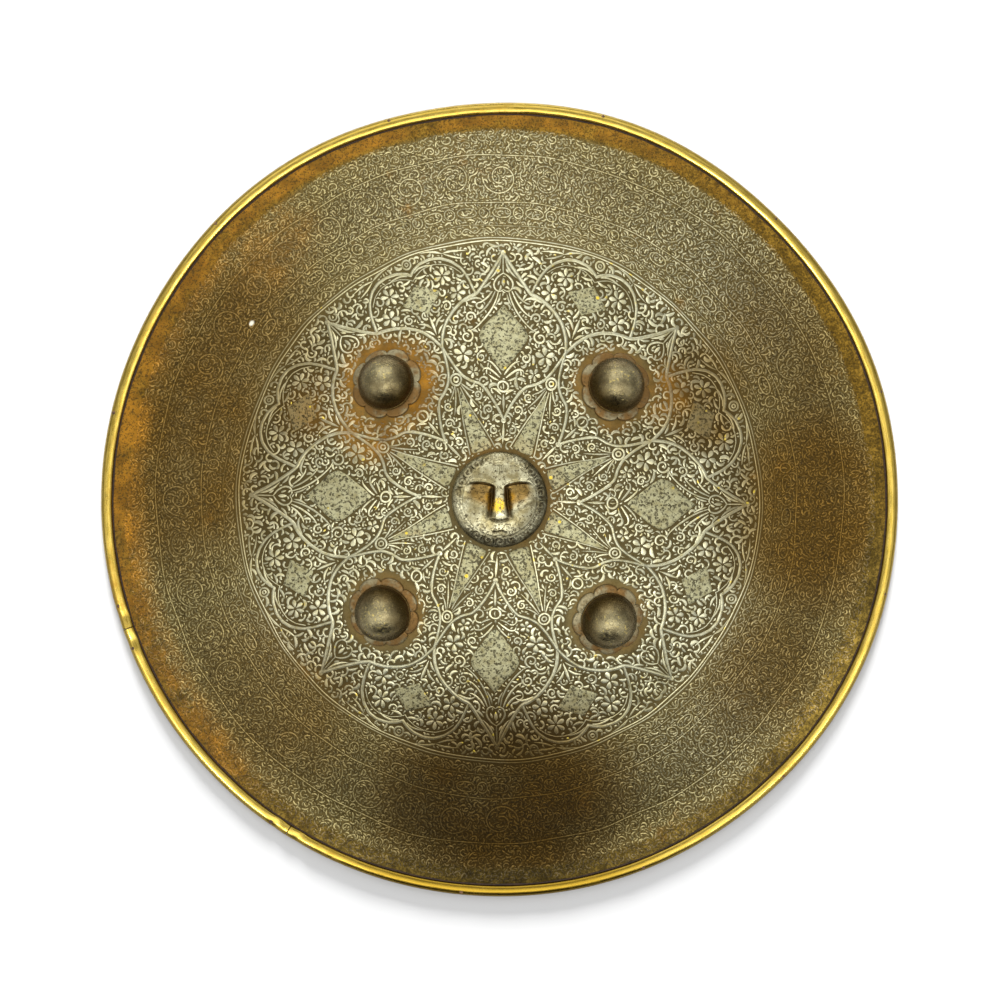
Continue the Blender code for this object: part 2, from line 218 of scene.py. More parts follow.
def boss_frame(degrees, turn=0.0):
    """Axes of a frame on the dome at a boss: rows are x (away from the axis), y and the normal."""
    a = math.radians(degrees)
    lean = math.asin(BOSS_CIRCLE / DOME)
    out = np.array([math.cos(a), math.sin(a), 0.0])
    side = np.array([-math.sin(a), math.cos(a), 0.0])
    up = np.array([0.0, 0.0, 1.0])
    x = out * math.cos(lean) - up * math.sin(lean)
    n = out * math.sin(lean) + up * math.cos(lean)
    origin = out * BOSS_CIRCLE + up * (CENTRE + DOME * math.cos(lean))
    t = math.radians(turn)
    c, s = math.cos(t), math.sin(t)
    return origin, np.array([x * c + side * s, -x * s + side * c, n])


def placed(points, place):
    """Points of a boss's frame, in the shield's."""
    origin, axes = place
    return points @ axes + origin


# Materials

def node(tree, kind, inputs=None, **settings):
    """A shader node with these inputs, each a value or the socket that it is linked to."""
    made = tree.nodes.new(kind)
    for key, value in settings.items():
        setattr(made, key, value)
    for key, value in (inputs or {}).items():
        if isinstance(value, bpy.types.NodeSocket):
            tree.links.new(value, made.inputs[key])
        else:
            made.inputs[key].default_value = value
    return made


class Paint:
    """A short way to write a procedural material."""

    def __init__(self, name, metallic, roughness):
        self.material = bpy.data.materials.new(name)
        self.material.use_nodes = True
        self.tree = self.material.node_tree
        self.shader = self.tree.nodes["Principled BSDF"]
        self.shader.inputs["Metallic"].default_value = metallic
        self.shader.inputs["Roughness"].default_value = roughness
        self.place = node(self.tree, "ShaderNodeTexCoord").outputs["Object"]

    def math(self, operation, a, b=0.0, clamp=False):
        made = node(self.tree, "ShaderNodeMath", {0: a, 1: b}, operation=operation, use_clamp=clamp)
        return made.outputs[0]

    def times(self, a, b):
        return self.math("MULTIPLY", a, b)

    def most(self, a, b):
        return self.math("MAXIMUM", a, b)

    def plus(self, a, b, clamp=False):
        return self.math("ADD", a, b, clamp)

    def minus(self, a, b, clamp=False):
        return self.math("SUBTRACT", a, b, clamp)

    def noise(self, scale, detail, roughness=0.55, place=None, distortion=0.0):
        inputs = {"Vector": place or self.place, "Scale": scale, "Detail": detail, "Roughness": roughness}
        return node(self.tree, "ShaderNodeTexNoise", {**inputs, "Distortion": distortion}).outputs["Fac"]

    def cells(self, scale):
        inputs = {"Vector": self.place, "Scale": scale}
        return node(self.tree, "ShaderNodeTexVoronoi", inputs).outputs["Distance"]

    def span(self, value, low, high, start=0.0, end=1.0):
        """Maps low..high to start..end, held at both ends."""
        inputs = {0: value, 1: low, 2: high, 3: start, 4: end}
        return node(self.tree, "ShaderNodeMapRange", inputs, interpolation_type="SMOOTHSTEP").outputs[0]

    def mix(self, share, a, b):
        made = node(self.tree, "ShaderNodeMix", data_type="RGBA")
        for key, value in ((0, share), (6, a), (7, b)):
            if isinstance(value, bpy.types.NodeSocket):
                self.tree.links.new(value, made.inputs[key])
            elif key == 0:
                made.inputs[key].default_value = value
            else:
                made.inputs[key].default_value = (*value, 1.0)
        return made.outputs[2]

    def mark(self, name):
        """A value that the mesh carries at its points."""
        return node(self.tree, "ShaderNodeAttribute", attribute_name=name).outputs["Fac"]

    def shade(self, colour, factor):
        """A colour made lighter or darker."""
        made = node(self.tree, "ShaderNodeVectorMath", {0: colour, "Scale": factor}, operation="SCALE")
        return made.outputs[0]

    def near(self, x, y, z, inner, outer):
        """1 near this place, falling to 0 from inner to outer."""
        far = node(self.tree, "ShaderNodeVectorMath", {0: self.place, 1: (x, y, z)}, operation="DISTANCE")
        return self.span(far.outputs["Value"], inner, outer, 1.0, 0.0)

    def polar(self):
        """Distance from the shield's axis, and the angle about it."""
        split = node(self.tree, "ShaderNodeSeparateXYZ", {0: self.place})
        x, y = split.outputs[0], split.outputs[1]
        radius = self.math("SQRT", self.plus(self.times(x, x), self.times(y, y)))
        return radius, self.math("ARCTAN2", y, x), split.outputs[2]

    def link(self, socket, name):
        self.tree.links.new(socket, self.shader.inputs[name])

    def finished(self, colour, roughness, height, distance, strength):
        """The material, with its colour, roughness and fine relief on the shader."""
        self.link(colour, "Base Color")
        if roughness is not None:
            self.link(roughness, "Roughness")
        inputs = {"Height": height, "Distance": distance, "Strength": strength}
        self.link(node(self.tree, "ShaderNodeBump", inputs).outputs[0], "Normal")
        return self.material


def crown(x, y):
    """The dome's height here."""
    return CENTRE + math.sqrt(DOME**2 - x**2 - y**2)


def patina_group():
    """Where the plate is rusty or browned, where painted shade darkens it, and where it takes painted
    highlights: shared by the ground and the relief on it.
    """
    tree = bpy.data.node_groups.new("patina", "ShaderNodeTree")
    for name in ("Rust", "BrownAndShade", "Bright", "Speck"):
        tree.interface.new_socket(name, in_out="OUTPUT", socket_type="NodeSocketFloat")
    p = Paint.__new__(Paint)
    p.tree = tree
    p.place = node(tree, "ShaderNodeTexCoord").outputs["Object"]
    radius, angle, _ = p.polar()
    cloud = p.noise(9.0, 5.0, 0.6)
    patch = p.noise(34.0, 6.0, 0.65)
    grain = p.noise(260.0, 4.0, 0.7)
    # browned places on the slope, missing at the top; at the foot the darkening is painted shade as well as
    # browning
    brown_and_shade = p.times(p.span(patch, 0.60, 0.74), 0.4)
    for x, y, inner, outer, much in (
        (0.178, -0.005, 0.030, 0.090, 1.0),
        (-0.178, 0.030, 0.035, 0.100, 0.95),
        (0.114, 0.062, 0.012, 0.045, 0.80),
        (0.110, 0.0455, 0.012, 0.030, 1.0),
        (-0.110, 0.0455, 0.010, 0.026, 0.85),
        (-0.112, 0.066, 0.010, 0.042, 0.70),
        (-0.150, 0.090, 0.025, 0.080, 0.85),
        (0.000, -0.168, 0.040, 0.095, 1.0),
        (-0.125, -0.110, 0.020, 0.080, 0.65),
        (0.160, 0.085, 0.015, 0.075, 0.60),
        (0.150, -0.090, 0.010, 0.065, 0.60),
        (0.076, 0.040, 0.000, 0.030, 0.35),
    ):
        spot = p.times(p.near(x, y, crown(x, y), inner, outer), much)
        cover = p.span(p.plus(cloud, p.times(patch, 0.6)), 0.55, 0.95, 0.60, 1.0)
        brown_and_shade = p.most(brown_and_shade, p.times(spot, cover))
    # rust at the rim on the left and the top, and round the upper bosses
    edge = p.times(p.span(radius, 0.2085, 0.2130), p.span(p.math("SINE", p.plus(angle, -0.9)), -0.25, 0.65))
    west = p.times(p.span(radius, 0.195, 0.213), p.span(p.math("COSINE", angle), -0.50, -0.90))
    rust = p.most(edge, west)
    for x, y, z, inner, outer, much in (
        (-0.0602, 0.0618, 0.066, 0.018, 0.036, 1.0),
        (-0.067, 0.039, 0.066, 0.006, 0.028, 1.0),
        (0.0860, 0.0600, 0.062, 0.006, 0.026, 0.75),
        (0.0615, 0.0602, 0.066, 0.019, 0.028, 0.5),
        (-0.062, -0.060, 0.066, 0.018, 0.026, 0.35),
        (0.0600, -0.0650, 0.066, 0.018, 0.024, 0.25),
        (-0.098, 0.050, 0.06, 0.0, 0.03, 0.35),
        (0.004, 0.004, 0.076, 0.024, 0.034, 0.25),
        (-0.13, 0.148, 0.02, 0.005, 0.045, 0.55),
    ):
        rust = p.most(rust, p.times(p.near(x, y, z, inner, outer), much))
    rust = p.times(rust, p.span(p.plus(patch, p.times(grain, 0.35)), 0.42, 0.82))
    freckle = p.times(p.span(patch, 0.62, 0.75), 0.35)
    rust = p.most(rust, freckle)
    # painted highlights: the middle, and out to the rim at the top and low on both sides
    painted_highlight = p.span(radius, 0.160, 0.110, 0.0, 0.8)
    for x, y, z, outer, much in (
        (-0.105, -0.060, 0.05, 0.060, 1.0),
        (0.000, -0.060, 0.07, 0.050, 1.0),
        (0.105, -0.065, 0.05, 0.060, 0.9),
        (0.000, 0.165, 0.02, 0.125, 0.95),
        (0.105, 0.125, 0.02, 0.100, 1.0),
        (0.110, -0.125, 0.02, 0.075, 0.6),
        (-0.090, 0.000, 0.06, 0.050, 0.9),
    ):
        painted_highlight = p.most(painted_highlight, p.times(p.near(x, y, z, 0.012, outer), much))
    painted_highlight = p.times(painted_highlight, p.span(cloud, 0.3, 0.6, 0.6, 1.0))
    out = node(tree, "NodeGroupOutput")
    for name, socket in (("Rust", rust), ("BrownAndShade", brown_and_shade), ("Bright", painted_highlight), ("Speck", grain)):
        tree.links.new(socket, out.inputs[name])
    return tree


PATINA = patina_group()
DEEP_PITS = 1.0  # from here pits are also in the fine relief; on less pitted steel they don't show there


def steel(name, dull, highlight_tone, browned, rusted, roughness, metallic, pits=0.0, gilt=0.0, varied=False,
          land=None, worn=None):
    """Old steel: its dull tone, the lighter tone of its painted highlights, browning with painted shade at
    the foot, rust, pits, and flecks of its gilding.

    Land is the tone of the flat rim, painted darker on its south half, worn brightens ground that has been
    rubbed down, and varied relief takes each stroke's own tone.
    """
    p = Paint(name, metallic, roughness)
    p.shader.inputs["Specular IOR Level"].default_value = 0.12
    patina = node(p.tree, "ShaderNodeGroup", node_tree=PATINA)
    rust, brown_and_shade, painted_highlight, speck = (patina.outputs[n] for n in ("Rust", "BrownAndShade", "Bright", "Speck"))
    mottle = p.noise(900.0, 3.0, 0.7)
    # the painted highlights take the lighter tone
    colour = p.mix(p.times(painted_highlight, p.span(speck, 0.28, 0.58)), dull, highlight_tone)
    # browning, with painted shade at the foot
    colour = p.mix(p.times(brown_and_shade, 0.9), colour, browned)
    radius, angle, _ = p.polar()
    if worn:
        rubbed = p.span(radius, 0.1260, 0.1470)
        for degrees, _ in BOSSES.values():
            rubbed = p.most(rubbed, p.near(*boss_frame(degrees)[0], 0.0200, 0.0245))
        colour = p.shade(colour, p.span(rubbed, 0.0, 1.0, *worn))
        grain = p.span(p.noise(430.0, 2.0, 0.6, distortion=1.4), 0.50, 0.57)
        grain = p.times(grain, p.span(radius, 0.1440, 0.1500, 0.0, 0.55))
        colour = p.mix(grain, colour, p.shade(p.mix(brown_and_shade, dull, browned), 5.0))
    if land:
        # the flat rim: painted shade makes it darker and greyer on the south half, and a painted reflection
        # makes it lighter to the south-east
        shaded_land = (0.66 * land[0], 0.76 * land[1], 1.1 * land[2])
        flat = p.mix(p.span(p.math("SINE", angle), -0.35, 0.35), shaded_land, land)
        flat = p.mix(p.near(0.188, -0.108, 0.003, 0.010, 0.060), flat, [1.9 * c for c in shaded_land])
        flat = p.shade(flat, p.span(p.noise(170.0, 4.0, 0.65), 0.35, 0.65, 0.66, 1.16))
        flat = p.shade(flat, p.span(p.noise(430.0, 2.0, 0.6, distortion=1.4), 0.44, 0.60, 0.80, 1.50))
        colour = p.mix(p.span(p.plus(radius, p.times(speck, 0.004)), 0.2085, 0.2125), colour, flat)
    rusted = p.shade(rusted, p.span(p.noise(60.0, 4.0, 0.6), 0.38, 0.62, 0.65, 1.3))
    colour = p.mix(p.times(rust, p.span(mottle, 0.3, 0.6, 0.7, 1.1)), colour, rusted)
    crowd = p.plus(p.span(radius, 0.142, 0.152, 0.0, 0.8), p.times(p.noise(120.0, 2.0), 0.5), True)
    fine = p.span(p.cells(760.0), 0.24, 0.36, 1.0, 0.0)
    pit = p.times(fine, p.times(crowd, 0.7))
    specks = p.times(p.span(p.noise(620.0, 3.0, 0.6), 0.53, 0.64), p.span(radius, 0.140, 0.155))
    pit = p.most(pit, p.times(specks, 0.75))
    if pits:
        round_pit = p.times(p.span(p.cells(520.0), 0.24, 0.48, 1.0, 0.0), p.span(mottle, 0.38, 0.56))
        pit = p.most(pit, p.times(round_pit, pits))
        eaten = p.span(p.noise(520.0, 4.0, 0.7), 0.51, 0.60)
        pit = p.most(pit, p.times(eaten, pits * 0.95))
    colour = p.mix(p.times(pit, 0.9), colour, (0.030, 0.021, 0.007))
    if gilt:
        fleck = p.times(p.span(p.cells(140.0), 0.11, 0.16, 1.0, 0.0), p.span(p.noise(30.0, 2.0), 0.44, 0.52))
        colour = p.mix(p.times(fleck, gilt), colour, (0.78, 0.58, 0.06))
    colour = p.mix(p.near(-0.1372, 0.0976, 0.0270, 0.0008, 0.0022), colour, (0.88, 0.85, 0.70))
    if varied:
        colour = p.shade(colour, p.span(p.mark("tone"), 0.0, 1.0, 0.62, 1.08))
    # painted shade: darker towards the foot
    colour = p.shade(colour, p.span(p.near(0.0, -0.172, 0.018, 0.025, 0.105), 0.0, 1.0, 1.0, 0.48))
    rough = p.plus(roughness, p.times(p.plus(rust, brown_and_shade), 0.15))
    rough = p.plus(rough, p.times(p.minus(mottle, 0.5), 0.25), clamp=True)
    p.link(p.minus(metallic, p.times(rust, 0.6), clamp=True), "Metallic")
    height = p.minus(p.times(mottle, 0.35), pit if pits >= DEEP_PITS else 0.0)
    return p.finished(colour, rough, p.plus(height, p.times(speck, 0.6)), 0.00012, 0.8)


def brass():
    """Rolled brass, brushed along its length, tarnished, darker underneath, and with painted shade towards
    the foot.
    """
    p = Paint("edging_brass", 1.0, 0.3)
    radius, angle, z = p.polar()
    rolled = {0: p.times(angle, 1.1), 1: p.times(radius, 60.0), 2: p.times(z, 60.0)}
    stretched = node(p.tree, "ShaderNodeCombineXYZ", rolled).outputs[0]
    brushed = p.noise(26.0, 5.0, 0.7, stretched)
    cloud = p.noise(22.0, 4.0, 0.6)
    spots = p.noise(240.0, 4.0, 0.7)
    colour = p.mix(p.span(brushed, 0.3, 0.7), (0.26, 0.177, 0.022), (0.37, 0.270, 0.062))
    tarnish = p.times(p.span(cloud, 0.48, 0.70), p.span(spots, 0.35, 0.62))
    colour = p.mix(p.times(tarnish, 0.7), colour, (0.22, 0.12, 0.015))
    # painted shade towards the foot
    foot = p.span(p.math("SINE", angle), -0.84, -0.985)
    colour = p.mix(p.times(foot, 0.85), colour, (0.17, 0.105, 0.008))
    lower = p.span(z, 0.0030, 0.0008)
    colour = p.mix(p.times(lower, p.span(spots, 0.3, 0.6, 0.25, 0.7)), colour, (0.16, 0.09, 0.012))
    for joint in JOINTS:
        turned_to = math.radians((joint + 180) % 360 - 180)
        gap = p.span(p.math("ABSOLUTE", p.minus(angle, turned_to)), 0.0007, 0.0022, 1.0, 0.0)
        colour = p.mix(gap, colour, (0.035, 0.018, 0.004))
    rough = p.plus(p.times(brushed, 0.22), p.plus(0.13, p.times(tarnish, 0.3)))
    return p.finished(colour, rough, p.plus(brushed, p.times(p.noise(90.0, 3.0), 0.8)), 0.00006, 0.5)


def dark_metal(name, low, high):
    """Iron, and the seam's line of old dirt and painted shade, without shine."""
    p = Paint(name, 0.2, 0.7)
    colour = p.mix(p.span(p.noise(900.0, 3.0), 0.4, 0.6), low, high)
    return p.finished(colour, None, p.noise(1400.0, 3.0), 0.0001, 0.8)


def boss_steel(name, apex):
    """Browned steel, dark down its sides and lighter at the crown, partly rubbed wear and partly painted
    shade and painted highlight, with what is left of its gilding.
    """
    p = Paint(name, 0.95, 0.34)
    cloud, fine = p.noise(120.0, 5.0, 0.65), p.noise(700.0, 4.0, 0.7)
    # lighter at the crown: partly rubbed wear, partly painted highlight; the dark base down the sides is
    # painted shade as well as browning
    rubbed = p.near(*apex, 0.003, 0.0165)
    painted_highlight = p.times(rubbed, p.span(cloud, 0.30, 0.60, 0.45, 1.0))
    colour = p.mix(painted_highlight, (0.060, 0.038, 0.010), (0.24, 0.205, 0.110))
    gold = p.times(p.span(fine, 0.57, 0.63), p.times(rubbed, p.span(cloud, 0.40, 0.54)))
    colour = p.mix(p.times(gold, 0.8), colour, (0.58, 0.45, 0.14))
    red = p.span(p.noise(60.0, 4.0, 0.6, distortion=0.6), 0.58, 0.72, 0.0, 0.5)
    colour = p.mix(red, colour, (0.14, 0.055, 0.012))
    rough = p.span(fine, 0.3, 0.7, 0.18, 0.42)
    return p.finished(colour, rough, p.plus(fine, p.times(cloud, 1.5)), 0.00022, 0.7)


def washer_steel():
    """Browned steel, part polished and part rusted."""
    p = Paint("washer_steel", 0.8, 0.45)
    cloud, fine = p.noise(70.0, 5.0, 0.65), p.noise(700.0, 4.0, 0.7)
    colour = p.mix(p.span(cloud, 0.40, 0.62), (0.115, 0.080, 0.028), (0.24, 0.205, 0.115))
    colour = p.mix(p.times(p.span(cloud, 0.55, 0.42), 0.5), colour, (0.19, 0.085, 0.015))
    colour = p.mix(p.times(p.span(fine, 0.56, 0.66), 0.6), colour, (0.045, 0.028, 0.010))
    rough = p.span(fine, 0.3, 0.7, 0.36, 0.6)
    return p.finished(colour, rough, p.plus(fine, cloud), 0.00012, 0.6)


def face_steel():
    """Polished steel, amber brown in the eye hollows and gilt on the nose, with painted shade beside the
    nose, in the creases and round the lower right of the rim.
    """
    p = Paint("face_steel", 0.9, 0.33)
    cloud, fine = p.noise(150.0, 5.0, 0.65), p.noise(800.0, 4.0, 0.7)
    colour = p.mix(p.span(cloud, 0.35, 0.65), (0.22, 0.185, 0.088), (0.47, 0.44, 0.28))
    hollow = p.times(p.span(p.mark("hollow"), 0.06, 0.55), p.span(cloud, 0.25, 0.5, 0.7, 1.0))
    colour = p.mix(p.times(hollow, 0.9), colour, (0.17, 0.095, 0.014))
    # painted shade, brown, beside the nose
    for x, y in ((-0.0048, 0.0012), (-0.0050, -0.0044), (0.0052, 0.0012), (0.0054, -0.0044)):
        colour = p.mix(p.near(x, y, 0.0812, 0.0018, 0.0040), colour, (0.24, 0.125, 0.012))
    # painted shade in the creases and round the rim
    colour = p.mix(p.times(p.mark("crease_shade"), 0.9), colour, (0.035, 0.020, 0.005))
    # painted shade: darker round the right and lower right of the rim
    colour = p.shade(colour, p.span(p.near(-0.006, 0.005, 0.082, 0.0190, 0.0270), 0.0, 1.0, 0.45, 1.0))
    gilt = p.near(-0.0009, -0.0030, 0.0850, 0.0026, 0.0048)
    colour = p.mix(p.times(gilt, p.span(fine, 0.42, 0.52, 0.1, 1.0)), colour, (0.90, 0.60, 0.06))
    pit = p.times(p.span(p.noise(640.0, 4.0, 0.7), 0.53, 0.62), p.span(cloud, 0.34, 0.52, 0.3, 1.0))
    colour = p.mix(p.times(pit, 0.85), colour, (0.045, 0.028, 0.008))
    rough = p.span(fine, 0.3, 0.7, 0.24, 0.44)
    return p.finished(colour, rough, p.minus(p.times(fine, 0.5), pit), 0.0001, 0.7)


GROUND = steel(
    "steel_ground", (0.034, 0.025, 0.008), (0.050, 0.039, 0.016), (0.028, 0.015, 0.002), (0.26, 0.118, 0.009),
    roughness=0.5, metallic=0.75, land=(0.16, 0.093, 0.012), worn=(1.9, 3.0),
)
RELIEF = steel(
    "steel_relief", (0.42, 0.37, 0.185), (0.76, 0.75, 0.53), (0.25, 0.15, 0.03), (0.25, 0.12, 0.018),
    roughness=0.36, metallic=0.9, pits=0.3, gilt=0.7, varied=True,
)
PLAIN = steel(
    "steel_plain", (0.26, 0.23, 0.110), (0.45, 0.435, 0.265), (0.15, 0.085, 0.015), (0.36, 0.185, 0.03),
    roughness=0.5, metallic=0.8, pits=1.0, gilt=0.9,
)
BORDER = steel(
    "steel_border", (0.44, 0.37, 0.165), (0.66, 0.62, 0.39), (0.27, 0.145, 0.020), (0.48, 0.215, 0.016),
    roughness=0.42, metallic=0.85, pits=0.45, varied=True, land=(0.27, 0.175, 0.055),
)
BACK = steel(
    "steel_back", (0.20, 0.17, 0.12), (0.26, 0.23, 0.17), (0.10, 0.06, 0.025), (0.30, 0.13, 0.03),
    roughness=0.5, metallic=0.8,
)


# Plate

def build_plate():
    sides = 288
    outermost = PLATE_RADIUS - 0.0002
    radii = np.concatenate([np.linspace(0.0004, 0.2105, 118), np.linspace(0.2115, outermost, 8)])
    a = np.arange(sides) * TAU / sides
    ring = np.stack([np.cos(a), np.sin(a)], -1)
    outer = surface(radii[:, None, None] * ring)
    inner_radii = np.linspace(outermost, 0.0004, 46)
    inner = surface(inner_radii[:, None, None] * ring, outer=False)
    rim = ring * PLATE_RADIUS
    heights = (RIM_TOP - 0.0002, RIM_TOP - THICKNESS + 0.0002)
    edge = np.stack([np.column_stack([rim, np.full(sides, z)]) for z in heights])
    points = np.concatenate([outer, edge, inner])
    rows = len(points)
    made = make("plate", points, closed_faces(rows, sides), GROUND, ["domed_plate"])
    made.data.materials.append(BACK)
    index = np.zeros(len(made.data.polygons), dtype=np.int32)
    index[(len(radii) + 1) * sides: (rows - 1) * sides] = 1
    index[-1] = 1
    made.data.polygons.foreach_set("material_index", index)


# Edging and pins

def rim_swell(a):
    """How far the hand-made rim departs from a true circle, in metres."""
    waves = (
        (2, 0.56, -0.24), (3, 0.15, -0.49), (4, -0.03, -0.18), (5, 0.19, -0.20),
        (6, 0.21, 0.38), (7, -0.53, 0.28), (8, -0.29, -0.10),
    )
    return RIM / PLAN_RIM * sum(c * np.cos(n * a) + s * np.sin(n * a) for n, c, s in waves)


def edging_section(crown):
    """(inset from the outside, height) all round the channel, from the inner lower corner."""
    points = [(EDGING_WIDTH, 0.0), (2 * EDGING_NOSE, 0.0)]
    nose, slot = EDGING_NOSE, EDGING_SLOT
    top = EDGING_HEIGHT * crown
    for i in range(7):
        t = math.pi / 2 * i / 6
        points.append((nose - nose * math.sin(t), nose - nose * math.cos(t)))
    for i in range(1, 13):
        t = math.pi / 2 * i / 12
        points.append((CROWN_INSET - CROWN_INSET * math.cos(t), nose + (top - nose) * math.sin(t)))
    lip = slot + EDGING_LIP
    for i in range(1, 7):
        t = math.pi / 2 * i / 6
        inset = CROWN_INSET + (EDGING_WIDTH - CROWN_INSET) * math.sin(t)
        points.append((inset, lip + (top - lip) * math.cos(t)))
    points += [(EDGING_WIDTH + 0.0001, slot + 0.0002), (EDGING_WIDTH - 0.0001, slot), (EDGING_WALL, slot)]
    points += [(EDGING_WALL, EDGING_WALL), (EDGING_WIDTH, EDGING_WALL)]
    return np.array(points)


def build_edging():
    gap = math.radians(0.03)
    material = brass()
    for length, start, end in (("short", JOINTS[0], JOINTS[1]), ("long", JOINTS[1], JOINTS[0] + 360)):
        a = np.linspace(math.radians(start) + gap, math.radians(end) - gap, int((end - start) * 2.5))
        filed = np.zeros_like(a)
        for joint in JOINTS:
            for side in (-1, 1):
                middle = math.radians(joint + side * 1.9)
                away = (a - middle + math.pi) % TAU - math.pi
                filed = np.maximum(filed, np.exp(-((away / math.radians(0.9)) ** 2)))
        uneven = 0.012 * np.sin(a * 37) + 0.015 * np.sin(a * 11 + 1) + 0.006 * np.sin(a * 83)
        wear = 1 - 0.10 * filed - uneven
        sections = np.stack([edging_section(w) for w in wear])
        out = RIM + rim_swell(a) - 0.0002 * filed
        r = out[:, None] - sections[..., 0]
        points = np.stack([r * np.cos(a)[:, None], r * np.sin(a)[:, None], sections[..., 1]], -1)
        cad = f"brass_edging_{length}"
        make(f"edging_{length}", points, closed_faces(*r.shape), material, [cad], sharp=50)


def build_seam():
    """A dark line between the edging's inner lip and the plate: partly old dirt in the seam, partly painted
    shade where the lip meets the plate.
    """
    sides = 720
    a = np.arange(sides) * TAU / sides
    lip = RIM - EDGING_WIDTH + rim_swell(a)
    wide = 0.0009 + 0.00012 * np.sin(a * 23) + 0.0001 * np.sin(a * 61 + 1)
    rows = []
    for share, lift in ((-0.4, 0.0002), (-0.4, -0.0006), (1.0, -0.0006), (1.0, 0.00005), (0.4, 0.00022)):
        r = lip - share * wide
        rows.append(surface(np.stack([r * np.cos(a), r * np.sin(a)], -1), lift))
    faces = grid_faces(len(rows), sides, wrap_rows=True, wrap_columns=True)
    dirt_and_shade = dark_metal("seam_dirt_and_shade", (0.014, 0.006, 0.001), (0.040, 0.018, 0.004))
    make("edging_seam", np.stack(rows), [faces], dirt_and_shade)


def build_pins():
    iron = dark_metal("pin_iron", (0.045, 0.022, 0.009), (0.15, 0.075, 0.03))
    for i, degrees in enumerate(PINS, start=1):
        a = math.radians(degrees)
        radius = PIN_CIRCLE + float(rim_swell(np.array(a)))
        across = (PIN_CIRCLE - (RIM - CROWN_INSET)) / CROWN_INSET
        top = EDGING_NOSE + (EDGING_HEIGHT - EDGING_NOSE) * math.sqrt(1 - across**2)
        size = PIN_RADIUS * rng.uniform(1.12, 1.3)
        profile = [(0.00005, top + 0.0002), (size * 0.6, top + 0.00016), (size * 0.92, top + 0.00002)]
        profile += [(size, top - 0.0003), (size, 0.0004), (size * 0.8, 0.0002), (0.00005, 0.0002)]
        points, faces = turned(profile, 24)
        points = points + np.array([radius * math.cos(a), radius * math.sin(a), 0.0])
        make(f"pin_{i:02d}", points, faces, iron, [f"edging_pin_{i:02d}"], sharp=45)


# Bosses

def boss_curls(turn):
    """Faint raised curls round a boss, in its own frame: points and faces."""
    low, high, radius = BOSS_SEAT + BOSS_LIP, BOSS_HEIGHT - BOSS_LIP, BOSS_RADIUS - 0.0004
    stations, points, faces = 20, [], []
    t = np.linspace(0, 1, stations)
    strokes = [(0.0092, k / 6, 0.0026, 1 - 2 * (k % 2)) for k in range(6)]
    strokes += [(0.0036, (k + 0.5) / 4, 0.0013, 1) for k in range(4)]
    for i, (reach, share, size, spin) in enumerate(strokes):
        a = math.radians(turn) + TAU * share
        course = a + spin * t * TAU * 1.1
        path = np.stack([np.cos(course), np.sin(course)], -1) * (size * (1 - 0.5 * t))[:, None]
        path = path + reach * np.array([math.cos(a), math.sin(a)])
        step = np.gradient(path, axis=0)
        side = np.stack([-step[:, 1], step[:, 0]], -1) / np.hypot(*step.T)[:, None]
        for across, lift in ((-1, -0.00006), (0, 0.00016), (1, -0.00006)):
            x, y = (path + side * across * 0.00034).T
            z = low + high * np.sqrt(1 - (x**2 + y**2) / radius**2)
            up = np.stack([x, y, z - low], -1)
            up = up / np.linalg.norm(up, axis=1)[:, None]
            points.append(np.stack([x, y, z], -1) + up * lift)
        faces.append(grid_faces(3, stations) + i * 3 * stations)
    return np.concatenate(points), np.concatenate(faces)


def build_bosses():
    collar = washer_steel()
    seat, lip, height, radius = BOSS_SEAT, BOSS_LIP, BOSS_HEIGHT, BOSS_RADIUS
    profile = [(0.00004, seat + height)]
    for i in range(1, 25):
        t = math.pi / 2 * i / 24
        profile.append(((radius - 0.0004) * math.sin(t), seat + lip + (height - lip) * math.cos(t)))
    profile += [(radius - 0.0001, seat + lip * 0.9), (radius, seat + lip * 0.6)]
    profile += [(radius, seat + lip * 0.25), (radius - 0.0003, seat)]
    profile += [(SHANK_RADIUS, seat), (SHANK_RADIUS, SHANK_END)]
    for i in range(9):
        t = math.pi / 2 * i / 8
        peened = SHANK_END - 0.0001 - PEEN_DEPTH * math.sin(t)
        profile.append((max(PEEN_RADIUS * math.cos(t * 0.98), 0.00004), peened))
    for name, (degrees, turn) in BOSSES.items():
        points, faces = turned(profile, 72)
        dents = 1 + 0.006 * np.sin(points[:, 0] * 700 + degrees) * np.cos(points[:, 1] * 610 + turn)
        points[:, :2] *= dents[:, None]
        place = boss_frame(degrees)
        apex = placed(np.array([0.0, 0.0, seat + height]), place)
        browned = boss_steel(f"boss_{name}", tuple(apex))
        points = placed(points, place)
        make(f"dome_{name}", points, faces, browned, [f"boss_{name}"], sharp=40)
        curls, faces = boss_curls(degrees)
        make(f"curls_{name}", placed(curls, place), [faces], browned)

        sides = WASHER_LOBES * 24
        a = np.arange(sides) * TAU / sides
        phase = (a * WASHER_LOBES / TAU) % 1.0
        outer = 0.0168 + 0.0026 * np.sin(math.pi * phase) ** 0.45
        outer = outer + 0.00012 * np.sin(a * 3 + degrees)
        shape = [(0, 0.0003, WASHER_HOLE), (1, 0.0003, 0), (1, 0.0008, 0), (1, 0.00115, -0.00025)]
        shape += [(1, 0.0014, -0.0006), (1, 0.0015, -0.0011), (0, 0.0015, WASHER_HOLE)]
        rows = []
        for whole, z, inset in shape:
            r = outer + inset if whole else np.full_like(a, inset)
            rows.append(np.stack([r * np.cos(a), r * np.sin(a), z - (DOME - np.sqrt(DOME**2 - r**2))], -1))
        points = placed(np.concatenate(rows), boss_frame(degrees, 180 + turn))
        faces = grid_faces(len(rows), len(a), wrap_rows=True, wrap_columns=True)
        make(f"washer_{name}", points, [faces], collar, [f"lobed_washer_{name}"], sharp=50)


